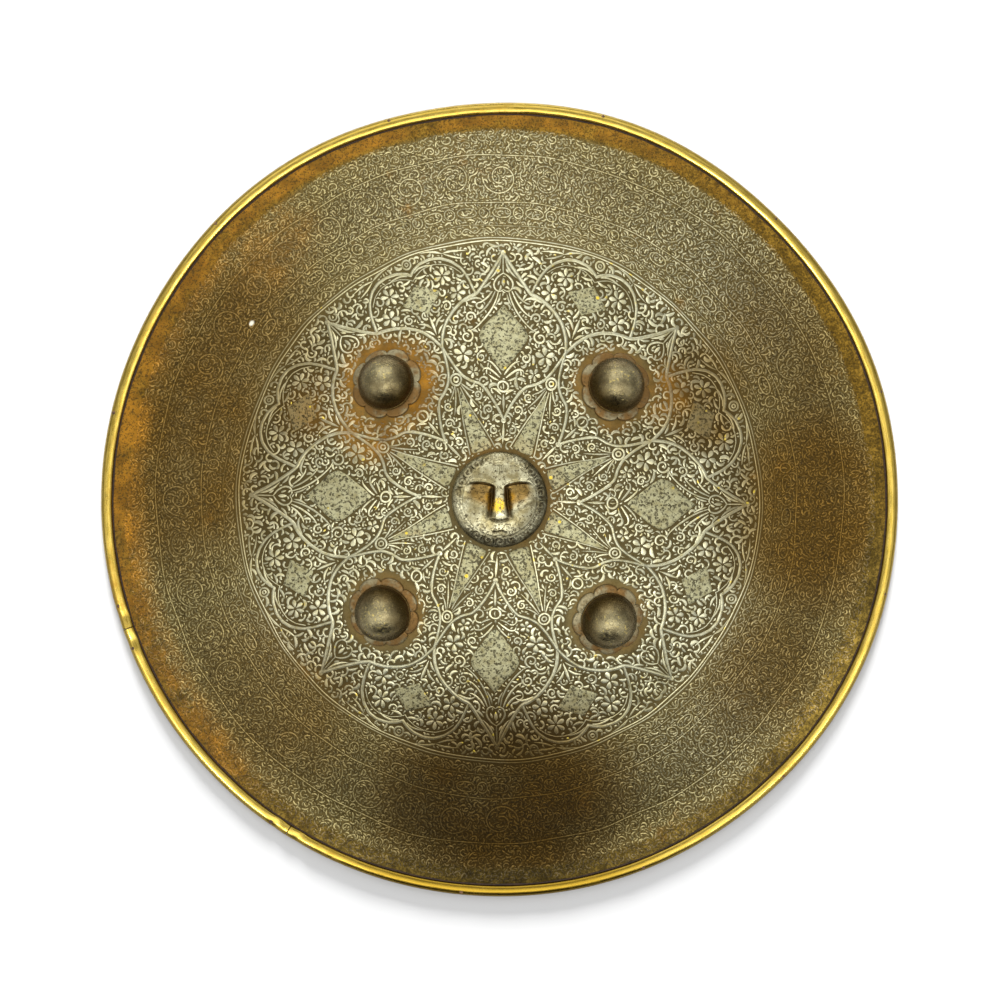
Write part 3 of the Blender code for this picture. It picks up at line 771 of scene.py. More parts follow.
# Face boss

def bell(x, width):
    """1 at 0, falling off smoothly over this width."""
    return np.exp(-((x / width) ** 2))


def rise(x, low, high):
    """0 up to low, 1 from high, and smooth between them."""
    t = np.clip((x - low) / (high - low), 0, 1)
    return t * t * (3 - 2 * t)


def face_height(u, v):
    """Height of the carved face above its seat, how deep in a hollow each place is, and how much painted
    shade it takes in its creases.

    Lengths are in millimetres, u right and v up.
    """
    r, a = np.hypot(u, v), np.abs(u)
    field = 8.8 - 2.2 * (r / 22.0) ** 2.2
    side = 5.0 * np.sqrt(np.clip(1 - (np.clip(r - 21.0, 0, None) / 4.25) ** 2, 0, 1)) + 0.9
    h = np.where(r < 21.0, field, np.minimum(field, side + 0.55))
    # eye hollows: steep under the brow, then a long slope down to the cheek
    half = np.interp(-v, (-8, -3, 3, 7, 10), (2.2, 2.4, 2.8, 3.7, 3.9))
    brow = 7.4 + 1.9 * np.sin(np.clip((a - 2) / 20, 0, 1) * math.pi) - 2.6 * rise(a, 15, 20.5)
    drop = brow - v
    hollow = rise(drop, 0.0, 1.3) * (1 - rise(drop, 4.0, 20.0 - 0.45 * a))
    hollow = hollow * rise(a - half, -0.3, 1.5) * (1 - 0.45 * rise(a, 8, 18))
    hollow = hollow * rise(20.6 - np.hypot(u, v + 0.5), 0, 7.5)
    h = h - 3.6 * hollow
    # the steep sides of the nose, and the groove under it
    trench = bell(a - half - 1.5, 1.45) * rise(v, -11.0, -8.0) * rise(7.2 - v, 0, 2.5)
    under = bell(v + 11.4 - 0.055 * a**2, 0.7) * rise(5.6 - a, 0, 2.0)
    h = h - 1.2 * trench - 0.9 * under
    # nose: a wedge that grows to a round tip
    h = h + 0.7 * bell(a, 2.3) * bell(v + 6.6, 3.6) + 0.3 * bell(a - 2.6, 1.2) * bell(v + 8.2, 1.4)
    # brow ridges
    h = h + 0.5 * bell(v - brow - 0.7, 0.75) * rise(a, 2.4, 5.0) * rise(20.2 - a, 0, 3)
    # cheeks
    h = h + 0.45 * bell(a - 12.0, 5.0) * bell(v + 10.5, 4.0)
    # faint almond eyes
    ring = np.hypot((a - 13.8) / 3.7, (v - 1.0) / 1.5)
    h = h - 0.10 * bell(ring - 1, 0.22)
    # mouth and chin
    curve = -16.6 - 0.03 * a**2 + 0.25 * np.sin(u * 1.3)
    h = h - 0.6 * bell(v - curve, 0.34) * rise(4.2 - a, 0, 1.2)
    h = h - 0.2 * bell(v + 19.0, 0.25) * rise(1.8 - a, 0, 0.8)
    # parted hair
    for i in range(-4, 5):
        line = u - i * 0.8 * (1 + (18.5 - v) * 0.13)
        foot = abs(i) * 0.5
        h = h - 0.35 * bell(line, 0.2) * rise(v, 12.2 + foot, 13.4 + foot) * rise(19.0 - v, 0, 0.8)
    # border: running curls between fine lines, worn at the left and the foot
    h = h - 0.22 * bell(r - 19.6, 0.2) * rise(r - 19.0, -1, 0)
    t = np.arctan2(v, u) * 22 / TAU
    x, y = ((t % 1.0) - 0.5) * 6.2, r - 22.1
    spiral = np.hypot(x, y)
    curl = np.cos(spiral * 3.0 - np.arctan2(y, x) * np.where(np.floor(t) % 2, 1, -1))
    worn = 0.35 + 0.65 * rise(np.sin(np.arctan2(v, u) * 3 + 0.6), -0.6, 0.4)
    h = h + 0.42 * curl * bell(y, 1.9) * worn
    mouth = bell(v - curve, 0.34) * rise(4.2 - a, 0, 1.2)
    # painted shade: in the trenches beside the nose, under it, in the mouth, under the brows, between the
    # border's curls, and round the rim, most at the lower right
    crease_shade = np.clip(trench * rise(a - half, 0.0, 0.8) + 0.8 * under + 0.7 * mouth, 0, 1)
    crease_shade = np.maximum(crease_shade, 0.8 * bell(drop - 0.7, 0.55) * rise(a, 3.0, 4.5) * rise(17.5 - a, 0, 6))
    crease_shade = np.maximum(crease_shade, 0.95 * rise(-curl, 0.0, 0.8) * bell(y, 1.9) * worn)
    crease_shade = np.maximum(crease_shade, rise(r, 23.6, 25.0) * (0.55 + 0.45 * rise(u - v, -10, 18)))
    return h, hollow, crease_shade


def build_face():
    sides = 384
    turn = np.linspace(0.12, 1, 9) * math.pi / 2
    radii = np.concatenate([np.linspace(0.02, 24.0, 104), 24.0 + 1.25 * np.sin(turn)])
    a = np.arange(sides) * TAU / sides
    u, v = radii[:, None] * np.cos(a), radii[:, None] * np.sin(a)
    h, hollow, crease_shade = face_height(u, v)
    apex = (CENTRE + DOME) * 1000
    rows = [np.stack([u, v, apex + h], -1)]
    skirt = ((25.25, 1.2), (25.0, 0.2), (24.2, -0.55))
    shank = ((3.0, 0.3), (3.0, -2.4), (5.5, -2.45), (5.2, -3.4), (3.6, -4.6), (0.03, -5.0))
    for r, z in skirt + shank:
        rows.append(np.stack([r * np.cos(a), r * np.sin(a), np.full(sides, apex + z)], -1)[None])
    points = np.concatenate(rows) / 1000
    marks = {}
    for name, values in (("hollow", hollow), ("crease_shade", crease_shade)):
        full = np.zeros(points.shape[:2])
        full[: len(radii)] = values
        marks[name] = full
    faces = closed_faces(len(points), sides)
    make("sun_face", points, faces, face_steel(), ["face_boss"], 60, marks)


# Ornament

STEP = 45.0  # degrees from one frame to the next
HALF_STEP = STEP / 2
CELL = 0.4  # the side of a cell of the map of free room, in plan units
REACH = 390.0
SPAN = int(2 * REACH / CELL)
FAR = 3.2  # how far from a stroke its room is noted
FACE_CLEAR = 51.0
BOSS_CLEAR = 38.0
MEDALLION = 258.5
BORDER_INSIDE = 264.5
BORDER_OUTSIDE = 370.0

# Boundaries in one eighth of the pattern: degrees from the axis, and the radius in plan units
FRAME_OUT = (
    (0, 2, 4.2, 6, 7.5, 9, 12, 15, 18, 20.5, HALF_STEP),
    (247, 233, 221, 212, 206.5, 205.5, 201, 194.5, 186, 175, PLAN_BOSS),
)
FRAME_IN = (
    (0, 1.5, 4, 7, 10, 11.5, 13.5, 16, 18.9, 20.6, 21.7, HALF_STEP),
    (80, 85, 93.5, 104, 113.5, 117, 119, 122, 128, 136, 146, PLAN_BOSS),
)
HEART = (
    (0, 1, 3, 5.7, 8, 10.2, 12.2, 13.6, 14.4, 15),
    (241.6, 245, 249, 250.5, 249, 244, 235.5, 224, 214, 206.5),
)

LEAF = np.array([0.22, 0.80, 1.0, 0.92, 0.6, 0.12])
STEM = np.array([0.55, 0.9, 1.0, 0.95, 0.8, 0.4])
FROND = np.array([0.55, 0.8, 1.0, 1.05, 0.85, 0.3])
HOOK = np.array([0.9, 0.85, 0.75, 0.7, 0.8, 1.1, 1.25, 0.7])


def trace(shape):
    """A boundary in polar form to a polyline from side to side of its upright axis."""
    degrees, radius = (np.array(c, float) for c in shape)
    fine = np.interp(np.linspace(0, 1, 60), (degrees - degrees[0]) / (degrees[-1] - degrees[0]), degrees)
    r = np.interp(fine, degrees, radius)
    r = np.convolve(np.pad(r, 2, mode="edge"), np.array([1, 2, 3, 2, 1]) / 9, "valid")
    r[0], r[-1] = radius[0], radius[-1]
    t = np.radians(90 - fine)
    right = np.stack([r * np.cos(t), r * np.sin(t)], -1)
    return np.concatenate([(right * (-1, 1))[::-1], right[1:]])


def smooth(points, count):
    """A smooth curve through these points, as count points evenly spaced along it."""
    p = np.asarray(points, float)
    if len(p) > 2:
        ends = np.vstack([2 * p[0] - p[1], p, 2 * p[-1] - p[-2]])
        t = np.linspace(0, 1, 8, endpoint=False)[:, None]
        out = []
        for a, b, c, d in zip(ends, ends[1:], ends[2:], ends[3:]):
            square, cube = 2 * a - 5 * b + 4 * c - d, 3 * b - a - 3 * c + d
            out.append(0.5 * (2 * b + (c - a) * t + square * t**2 + cube * t**3))
        p = np.vstack([*out, p[-1:]])
    run = np.concatenate([[0], np.cumsum(np.hypot(*np.diff(p, axis=0).T))])
    at = np.linspace(0, run[-1], count)
    return np.stack([np.interp(at, run, p[:, 0]), np.interp(at, run, p[:, 1])], -1)


def copies(path, kind="all", axis="frame", mirror=True):
    """A path drawn about the upright axis, set out round the shield, and mirrored in each place."""
    start = 0.0 if axis == "frame" else HALF_STEP
    turns = {"all": range(8), "cardinal": range(0, 8, 2)}[kind]
    found = []
    for turn in turns:
        t = math.radians(start + STEP * turn)
        spin = np.array([[math.cos(t), math.sin(t)], [-math.sin(t), math.cos(t)]])
        for flip in ((1, -1) if mirror else (1,)):
            found.append((path * (flip, 1)) @ spin)
    return np.array(found)


class Relief:
    """Raised lines, leaves and plain areas on the plate, and the room that is left between them."""

    room = np.full((SPAN, SPAN), 9.0, np.float32)

    def __init__(self):
        self.points, self.faces, self.tones, self.count = [], [], [], 0

    @classmethod
    def cover(cls, path, halves):
        """Notes how far the ground near a stroke is from the stroke's edge."""
        path = np.concatenate([path, (path[:-1] + path[1:]) / 2])
        halves = np.concatenate([halves, (halves[:-1] + halves[1:]) / 2])
        low = np.maximum(np.floor((path.min(0) - FAR + REACH) / CELL).astype(int), 0)
        high = np.minimum(np.ceil((path.max(0) + FAR + REACH) / CELL).astype(int) + 1, SPAN)
        if (low >= high).any():
            return
        x = np.arange(low[0], high[0])[:, None, None] * CELL - REACH
        y = np.arange(low[1], high[1])[None, :, None] * CELL - REACH
        away = np.sqrt((x - path[:, 0]) ** 2 + (y - path[:, 1]) ** 2) - halves
        window = cls.room[low[0]: high[0], low[1]: high[1]]
        np.minimum(window, away.min(-1), out=window)

    def add(self, points, faces, tones):
        points = points.reshape(-1, 3)
        self.points.append(points)
        self.faces.append(faces + self.count)
        self.tones.append(np.broadcast_to(tones, points.shape[:1]))
        self.count += len(points)

    def ridges(self, paths, widths, height=0.00036, flat=False, closed=False, cover=True, tone=None):
        """Raised strokes. Paths are (strokes, stations, 2); widths are halves, in plan units."""
        paths = np.asarray(paths, float)
        if paths.ndim == 2:
            paths = paths[None]
        strokes, stations = paths.shape[:2]
        widths = np.broadcast_to(np.asarray(widths, float), (strokes, stations))
        if closed:
            step = np.roll(paths, -1, 1) - np.roll(paths, 1, 1)
        else:
            step = np.gradient(paths, axis=1)
        step = step / np.maximum(np.hypot(step[..., 0], step[..., 1]), 1e-9)[..., None]
        side = np.stack([-step[..., 1], step[..., 0]], -1)
        across = np.array([-1.0, -0.68, 0.68, 1.0] if flat else [-1.0, 0.0, 1.0])
        tops = np.array([0, 1, 1, 0] if flat else [0, 1, 0])
        plan = paths[:, :, None] + side[:, :, None] * (widths[..., None] * across)[..., None]
        lift = np.where(tops, height * np.clip(widths / 0.8, 0.25, 1.0)[..., None], -0.00005)
        points = surface(to_metres(hand_drawn(plan)), lift)
        if cover:
            for path, half in zip(paths, widths):
                for i in range(0, stations - 1, 6):
                    self.cover(path[i: i + 7], half[i: i + 7])
        columns = len(across)
        index = np.arange(strokes * stations * columns).reshape(strokes, stations, columns)
        if closed:
            index = np.concatenate([index, index[:, :1]], 1)
        a, b, c, d = index[:, :-1, :-1], index[:, 1:, :-1], index[:, 1:, 1:], index[:, :-1, 1:]
        tones = rng.uniform(0.0, 1.0, strokes) if tone is None else np.full(strokes, tone)
        self.add(points, np.stack([a, b, c, d], -1).reshape(-1, 4), np.repeat(tones, stations * columns))

    def line(self, points, width, count=24, kind="all", axis="frame", mirror=True, shape=STEM, **more):
        path = smooth(points, count)
        halves = width * np.interp(np.linspace(0, 1, count), np.linspace(0, 1, 6), shape)
        self.ridges(copies(path, kind, axis, mirror), halves, **more)

    def leaf(self, points, width, count=6, **more):
        self.line(points, width, count, shape=LEAF, **more)

    def ring(self, centre, radius, width, kind="all", axis="frame", count=28, **more):
        t = np.arange(count) * TAU / count
        path = np.asarray(centre, float) + radius * np.stack([np.cos(t), np.sin(t)], -1)
        self.ridges(copies(path, kind, axis, False), width, closed=True, **more)

    def scroll(self, centre, radius, start, spin, leaves, **more):
        """A curling stem with leaves outside it and a bud at its heart. Angles are in degrees."""
        width, turns = 1.15, 1.15
        centre = np.asarray(centre, float)
        t = np.linspace(0, 1, 26)
        a = math.radians(start) + spin * t * TAU * turns
        r = radius * (1 - 0.66 * t)
        path = centre + r[:, None] * np.stack([np.cos(a), np.sin(a)], -1)
        self.ridges(copies(path, **more), width * (1 - 0.35 * t))
        bud = np.array([(0.14, 0.10), (-0.14, 0.08), (-0.05, -0.16)])
        self.leaf(centre + bud * radius, 0.17 * radius, **more)
        for i in range(leaves):
            s = 0.1 + 0.8 * i / leaves
            a = math.radians(start) + spin * TAU * s
            out = np.array([math.cos(a), math.sin(a)])
            along = spin * np.array([-out[1], out[0]])
            size = radius * (0.66 - 0.04 * i)
            root = centre + out * (radius * (1.04 - 0.6 * s) + width + 0.3)
            bend = root + out * size * 0.5 + along * size * 0.3
            self.leaf([root, bend, root + out * size * 0.7 + along * size * 1.1], 0.19 * radius, **more)

    def flower(self, centre, radius, petals, turn, **more):
        for i in range(petals):
            a = math.radians(turn) + TAU * i / petals
            d = np.array([math.cos(a), math.sin(a)])
            path = np.asarray(centre, float) + np.outer((0.16, 0.34, 0.54, 0.74, 0.9, 1.0), d) * radius
            halves = np.array([0.25, 0.62, 1.0, 1.15, 0.85, 0.3]) * radius * 1.32 / petals
            self.ridges(copies(path, **more), halves)

    def pad(self, outline, kind="all", axis="frame", height=0.00024):
        """A plain raised area, given as its right half from top to bottom."""
        half = smooth(outline, 32)
        ring = np.concatenate([half, (half * (-1, 1))[::-1][1:-1]])
        for whole in copies(ring, kind, axis, False):
            centre = whole.mean(0)
            away = whole - centre
            far = np.hypot(away[:, 0], away[:, 1])[:, None]
            rows = [centre + away * s for s in (0.03, 0.3, 0.6, 0.85)]
            rows += [whole - away / far * 0.5, whole]
            lifts = np.repeat(np.array([height] * 5 + [-0.00005])[:, None], len(whole), 1)
            points = surface(to_metres(hand_drawn(np.stack(rows))), lifts)
            faces = grid_faces(len(rows), len(whole), wrap_columns=True)
            a, b = whole[1] - whole[0], centre - whole[0]
            if a[0] * b[1] - a[1] * b[0] > 0:
                faces = faces[:, ::-1]
            self.add(points, faces, 0.5)
            for s in np.linspace(0.1, 1, 16):
                edge = centre + away * s
                halves = np.full(7, min(1.0, 12 * (1 - s)))
                for i in range(0, len(edge), 6):
                    self.cover(np.take(edge, range(i, i + 7), 0, mode="wrap"), halves)

    def sow(self, region, length, width, gap, bend, shape=LEAF, height=0.00038, tries=10, field=None,
            rooted=True):
        """Fills the free ground of a region with leaves of about one size, as close as they go.

        Rooted leaves spring from the edge of a stroke that is already there and curl away from it.
        """
        room = self.room
        stations = len(shape)
        s = np.linspace(0, 1, stations)
        inside = np.flatnonzero(region)
        free = width[0] * 0.85 + gap
        area = (room.ravel()[inside] > free).sum() * CELL**2
        want = area / (length[0] * (width[0] * 2 + gap)) * tries
        batches = int(np.clip(want / 500, 1, 40))
        kept, kept_widths = [], []
        for _ in range(batches):
            left = room.ravel()[inside]
            cells = inside[(left > -0.5) & (left < 0.3) if rooted else left > free]
            if not len(cells):
                break
            some = cells[rng.integers(0, len(cells), int(want / batches) + 1)]
            some = np.stack(np.unravel_index(some, room.shape), -1)
            at = some * CELL - REACH
            size = rng.uniform(*length, len(at))
            thick = rng.uniform(*width, len(at))
            side = rng.choice((-1, 1), len(at))
            curl = rng.uniform(*bend, len(at)) * side
            if rooted:
                i, j = np.clip(some, 1, SPAN - 2).T
                outward = np.arctan2(room[i, j + 1] - room[i, j - 1], room[i + 1, j] - room[i - 1, j])
                heading = outward - side * rng.uniform(0.2, 1.1, len(at))
            elif field:
                course, spin = field(at)
                curl = np.abs(curl) * spin
                heading = course + rng.normal(0, 0.45, len(at)) - curl / 2
            else:
                heading = rng.uniform(0, TAU, len(at))
            turn = heading[:, None] + curl[:, None] * (s[None, :-1] + 0.5 / stations)
            step = np.stack([np.cos(turn), np.sin(turn)], -1) * (size / (stations - 1))[:, None, None]
            path = np.concatenate([np.zeros((len(at), 1, 2)), np.cumsum(step, 1)], 1)
            need = thick[:, None] * shape * 0.92 + gap
            if rooted:
                need = need * np.clip(s / 0.4, 0, 1) - (s < 0.2)
            else:
                path = path - path[:, stations // 2, None]
            path = path + at[:, None]
            index = np.clip(np.rint((path + REACH) / CELL).astype(int), 0, SPAN - 1)
            i, j = index[..., 0], index[..., 1]
            good = (region[i, j] & (room[i, j] >= need)).all(1)
            for k in np.flatnonzero(good):
                if (room[i[k], j[k]] >= need[k]).all():
                    self.cover(path[k], thick[k] * shape)
                    kept.append(path[k])
                    kept_widths.append(thick[k] * shape)
        if kept:
            self.ridges(np.array(kept), np.array(kept_widths), height, cover=False)

    def built(self, name, material, parts=1):
        """Makes the relief as this many pieces, each a share of the shield's round."""
        points, faces, tones = (np.concatenate(c) for c in (self.points, self.faces, self.tones))
        angle = np.arctan2(points[faces[:, 0], 1], points[faces[:, 0], 0])
        part = np.minimum(((angle + math.pi) / TAU * parts).astype(int), parts - 1)
        for i in range(parts):
            used, index = np.unique(faces[part == i], return_inverse=True)
            label = name if parts == 1 else f"{name}_{i + 1}"
            marks = {"tone": tones[used]}
            make(label, points[used], [index.reshape(-1, 4)], material, marks=marks)


def regions():
    """Masks over the pattern's ground: each field, clear of the bosses."""
    at = np.arange(SPAN) * CELL - REACH
    x, y = np.meshgrid(at, at, indexing="ij")
    r, theta = np.hypot(x, y), np.arctan2(y, x)
    drawn = hand_drawn(np.stack([x, y], -1))
    clear = r > FACE_CLEAR
    edge = BORDER_OUTSIDE + 2.2 * np.sin(27 * theta) * np.sin(11 * theta)
    edge = edge + 12 * np.clip(0.4 - 1.5 * np.sin(theta), 0, 1)
    for degrees, _ in BOSSES.values():
        a = math.radians(degrees)
        u, v = drawn[..., 0] - PLAN_BOSS * math.cos(a), drawn[..., 1] - PLAN_BOSS * math.sin(a)
        bearing = np.arctan2(v, u)
        worn = 2.2 * np.sin(3 * bearing + degrees) + 1.6 * np.sin(8 * bearing + 2)
        clear &= np.hypot(u, v) > BOSS_CLEAR + worn
    Relief.room[~clear] = 0
    return {
        "medallion": clear & (r < MEDALLION),
        "outer": (r > BORDER_INSIDE) & (r < edge),
    }


def band_line(relief, radius, width, waver, waves):
    """A gently wavering line round the shield."""
    t = np.arange(900) * TAU / 900
    r = radius + waver * np.sin(waves * t)
    relief.ridges(np.stack([r * np.cos(t), r * np.sin(t)], -1), width, closed=True)


def cardinal_frames(m):
    """What fills the four frames on the upright and level axes, round their plain lozenges."""
    c = {"kind": "cardinal"}
    m.line([(5, 208), (7.5, 199), (12.5, 188.5), (20, 178.5), (28.5, 170.5), (34.5, 167.5)], 0.95, **c)
    m.line([(8.0, 208.5), (12, 199.5), (18, 190.5), (24.5, 184.5), (28.5, 183)], 1.0, **c)
    m.line([(10.8, 208.5), (15.5, 202), (21.5, 197), (26.0, 195.5)], 1.05, **c)
    m.leaf([(3, 206.5), (4.6, 199.5), (8.2, 193)], 1.0, **c)
    m.leaf([(38.5, 196.5), (31, 200.4), (24.5, 201), (19.5, 198.2)], 1.5, **c)
    m.scroll((33.0, 181.5), 5.2, 200, -1, leaves=5, **c)
    m.scroll((37.0, 162.0), 6.6, 100, 1, leaves=6, **c)
    m.flower((41.5, 143.5), 9.6, 5, turn=20, **c)
    m.scroll((23, 141.5), 4.6, 60, -1, leaves=4, **c)
    m.line([(1.5, 125.5), (6, 131.5), (12, 137), (16.5, 138.5)], 1.1, **c)
    m.line([(3, 122.5), (9, 127.2), (14.5, 130.5), (19.5, 130.2), (21, 127)], 1.1, **c)
    m.leaf([(4.5, 119.5), (10, 121.5), (15, 124.5)], 1.1, **c)
    m.flower((31, 126.0), 6.4, 5, turn=-10, **c)


def all_frames(m):
    """The foot, the palmette and the upper chamber that all eight frames have."""
    m.line([(0, 244), (0, 227)], 0.9, 12, mirror=False)
    m.line([(0, 227), (-5.4, 223), (-9, 216.6), (-7.6, 210.6), (-3.2, 208.6), (0, 210.6)], 1.0)
    m.leaf([(0, 222), (0, 213.5)], 1.9, mirror=False)
    m.leaf([(-3.6, 219.5), (-5.2, 214.5)], 1.1)
    m.leaf([(2.2, 240), (4.6, 232.5), (9.2, 225.2), (13.5, 221)], 1.35, count=8)
    m.leaf([(2.4, 231), (6.0, 226.5)], 1.2)
    m.leaf([(12, 218.5), (16.4, 214), (20.5, 212)], 1.3)
    m.ring((0, 113.5), 5.2, 1.05, count=24)
    m.line([(0, 116.5), (0.6, 113.5), (0, 111)], 0.8, 8, mirror=False)
    m.leaf([(2.2, 105.5), (6.2, 109.5), (11.2, 111)], 1.4)
    m.leaf([(1.8, 100.5), (6.6, 104.6)], 1.3)
    m.leaf([(0, 105.5), (0, 88)], 1.4, count=8, mirror=False)


def hearts(m):
    """What fills the two-lobed fields between the frames, and the fans and small rings outside them."""
    h = {"axis": "heart"}
    m.flower((28.5, 229.5), 9.4, 6, turn=10, **h)
    m.flower((36.5, 208.0), 8.6, 5, turn=-20, **h)
    m.line([(4.0, 242.5), (10, 244.8), (18, 244.5), (24, 242.5)], 1.0, **h)
    m.leaf([(2.2, 238), (7.5, 236.0), (14.5, 236.5)], 1.3, **h)
    m.leaf([(0, 196), (0, 176)], 1.6, count=8, mirror=False, **h)
    m.leaf([(2.2, 184), (7.0, 190), (14, 193)], 1.4, **h)
    m.leaf([(2.0, 176), (6.0, 181), (10.5, 184)], 1.2, **h)
    m.scroll((21, 200), 5.2, 120, -1, leaves=5, **h)
    m.ring((0, 252.8), 4.4, 1.0, count=22, **h)
    m.ring((0, 252.8), 1.7, 0.8, count=12, **h)
    for x, y in ((24, 256.5), (17, 258.2), (54, 246.5), (62, 244.6)):
        m.leaf([(38.5, 250.5), ((38.5 + x) / 2, (250.5 + y) / 2 + 1.6), (x, y)], 0.95, count=8, **h)
    m.leaf([(39.5, 249.5), (48, 243), (56.5, 238.5)], 1.0, count=8, **h)


def rays(m):
    """The edges of the wedges that run in to the face boss, and the curls between them."""
    h = {"axis": "heart"}
    m.line([(1.4, 119), (3.4, 104), (7.6, 84), (11.8, 62), (13.2, 52.5)], 0.75, shape=np.ones(6), **h)
    m.leaf([(2.8, 121), (7.4, 108), (13, 95)], 0.95, **h)
    m.leaf([(3.1, 122.8), (8.5, 115), (14, 110)], 0.95, **h)
    m.ring((0, 127.5), 5.4, 1.05, **h)
    m.ring((0, 127.5), 2.3, 0.9, count=14, **h)
    m.scroll((15.0, 90.5), 5.0, -60, 1, leaves=5)
    m.scroll((9.4, 70.5), 4.4, 100, -1, leaves=5)
    m.scroll((25.5, 104.0), 4.6, -60, -1, leaves=5)
    m.leaf([(0, 77), (0, 57)], 1.4, count=8, mirror=False)
    m.line([(2.8, 83), (8.5, 98), (17, 111.5)], 0.6)


# What the sown leaves turn round: the axis, the way round, and the place
SWIRLS = (
    ("frame", -1, (33, 181.5)), ("frame", 1, (37, 162)), ("frame", 1, (41.5, 143.5)),
    ("frame", -1, (23, 141)), ("frame", 1, (15, 90.5)), ("frame", -1, (9.4, 70.5)),
    ("frame", -1, (25.5, 104)), ("frame", 1, (8, 232)), ("frame", -1, (14, 214)),
    ("heart", 1, (28.5, 229.5)), ("heart", -1, (36.5, 208)), ("heart", -1, (21, 200)),
    ("heart", 1, (38.5, 250.5)), ("heart", 1, (8, 185)),
)


def swirl(at):
    """The way that leaves lean at these places: round the nearest scroll, and opening outwards."""
    centres, spins = [], []
    for axis, spin, centre in SWIRLS:
        centres.append(copies(np.array([centre], float), "all", axis).reshape(-1, 2))
        spins.append(np.tile([spin, -spin], 8))
    centres, spins = np.concatenate(centres), np.concatenate(spins)
    away = at[:, None] - centres[None]
    nearest = np.argmin((away**2).sum(-1), 1)
    d = away[np.arange(len(at)), nearest]
    spin = spins[nearest]
    return np.arctan2(d[:, 1], d[:, 0]) + spin * math.radians(62), spin


def build_medallion(field):
    plain, m = Relief(), Relief()
    lozenge = [(0, 194.8), (5, 188.5), (12, 180.5), (20, 172.8), (24.6, 165.5)]
    lozenge += [(24.9, 160.5), (21, 153), (13, 143), (5, 133), (0, 128.6)]
    plain.pad(lozenge, "cardinal")
    shield = [(0, 232.5), (6.5, 227), (18.6, 218), (19.6, 215), (9.5, 207.5), (0, 199.6)]
    plain.pad(shield, axis="heart")
    ray = [(0, 116), (1.6, 112), (5.4, 90), (9.4, 62), (10.4, 54), (6, 52.5), (0, 52)]
    plain.pad(ray, axis="heart", height=0.0002)
    for shape, width in ((FRAME_OUT, 1.75), (FRAME_IN, 1.5)):
        m.ridges(copies(trace(shape), mirror=False), width, 0.0004, flat=True, tone=0.32)
    heart = trace(HEART)
    m.ridges(copies(heart, "all", "heart", False), 1.5, 0.00036, flat=True, tone=0.32)
    m.ridges(copies(heart[12:-12] * 0.976, "all", "heart", False), 0.55, 0.0002)
    for tip in (247.5, 80):
        m.ring((0, tip), 1.2, 1.6, count=12)
    band_line(m, 259.7, 0.6, 0.3, 17)
    band_line(m, 262.5, 0.6, 0.3, 13)
    rays(m)
    all_frames(m)
    cardinal_frames(m)
    hearts(m)
    # the leaves between the drawn ones: long hooks and fronds first, then smaller ones in what is left
    m.sow(field, (11.0, 15.0), (1.0, 1.3), 0.65, (2.6, 4.4), HOOK, tries=3)
    m.sow(field, (8.5, 12.0), (1.4, 2.0), 0.65, (0.8, 2.6), FROND, tries=8)
    m.sow(field, (9.0, 13.0), (1.1, 1.4), 0.6, (2.0, 4.0), HOOK, tries=2, field=swirl, rooted=False)
    m.sow(field, (7.0, 10.0), (1.2, 1.8), 0.6, (0.8, 2.6), FROND)
    m.sow(field, (4.6, 6.8), (1.0, 1.4), 0.55, (0.6, 2.4), FROND, tries=14)
    m.sow(field, (3.0, 4.4), (0.8, 1.1), 0.5, (0.2, 2.0), tries=14)
    m.sow(field, (2.8, 4.2), (0.7, 0.95), 0.5, (0.4, 2.4), tries=3, rooted=False)
    plain.built("frames_and_fields", PLAIN)
    m.built("medallion_relief", RELIEF, 4)


def build_borders(field):
    b = Relief()
    low = 0.0003
    for radius, width in ((275.6, 0.4), (298.2, 0.45), (344.4, 0.5)):
        band_line(b, radius, width, 0.5, 23)
    band_line(b, 270.0, 0.6, 2.4, 108)
    units = 54
    t = np.arange(20) * TAU / 20
    for i in range(units):
        for middle, wide, tall in ((0.0, 5.0, 5.2), (0.5, 9.0, 4.6)):
            a = TAU * (i + middle) / units
            out = np.array([math.cos(a), math.sin(a)])
            side = np.array([-out[1], out[0]])
            across = np.sign(np.cos(t)) * np.abs(np.cos(t)) ** (1.0 if middle == 0 else 0.8) * wide
            link = out * 288 + np.outer(across, side) + np.outer(np.sin(t) * tall, out)
            b.ridges(link, 0.6, low, closed=True)
    # the running scrolls of the wide band, and the small curls of the border
    large, small = (44, 321.5, 17.5, 1.3, 0.0, 34), (128, 358.5, 5.6, 0.85, 4.6, 14)
    for count, radius, size, turns, shift, stations in (large, small):
        for i in range(count):
            a = TAU * i / count
            spin = 1 if i % 2 else -1
            t = np.linspace(0, 1, stations)
            turn = a + math.pi / 2 + spin * t * TAU * turns
            r = size * (1 - 0.72 * t)
            centre = (radius + shift * spin) * np.array([math.cos(a), math.sin(a)])
            b.ridges(centre + r[:, None] * np.stack([np.cos(turn), np.sin(turn)], -1), 0.65, low)
    curl, grain = STEM[[0, 1, 2, 4, 5]], np.array([0.5, 1.0, 0.5])
    b.sow(field, (6.0, 9.0), (0.75, 1.0), 0.62, (1.0, 3.2), curl, low, 1.0, rooted=False)
    b.sow(field, (6.0, 9.5), (0.75, 1.05), 0.6, (1.0, 3.2), curl, low, 10)
    b.sow(field, (3.4, 5.2), (0.65, 0.9), 0.55, (0.6, 2.4), curl, low, 12)
    b.sow(field, (2.0, 3.2), (0.55, 0.75), 0.5, (0.0, 1.5), grain, low, 8, rooted=False)
    b.built("border_relief", BORDER, 4)


# Floor, lights and camera

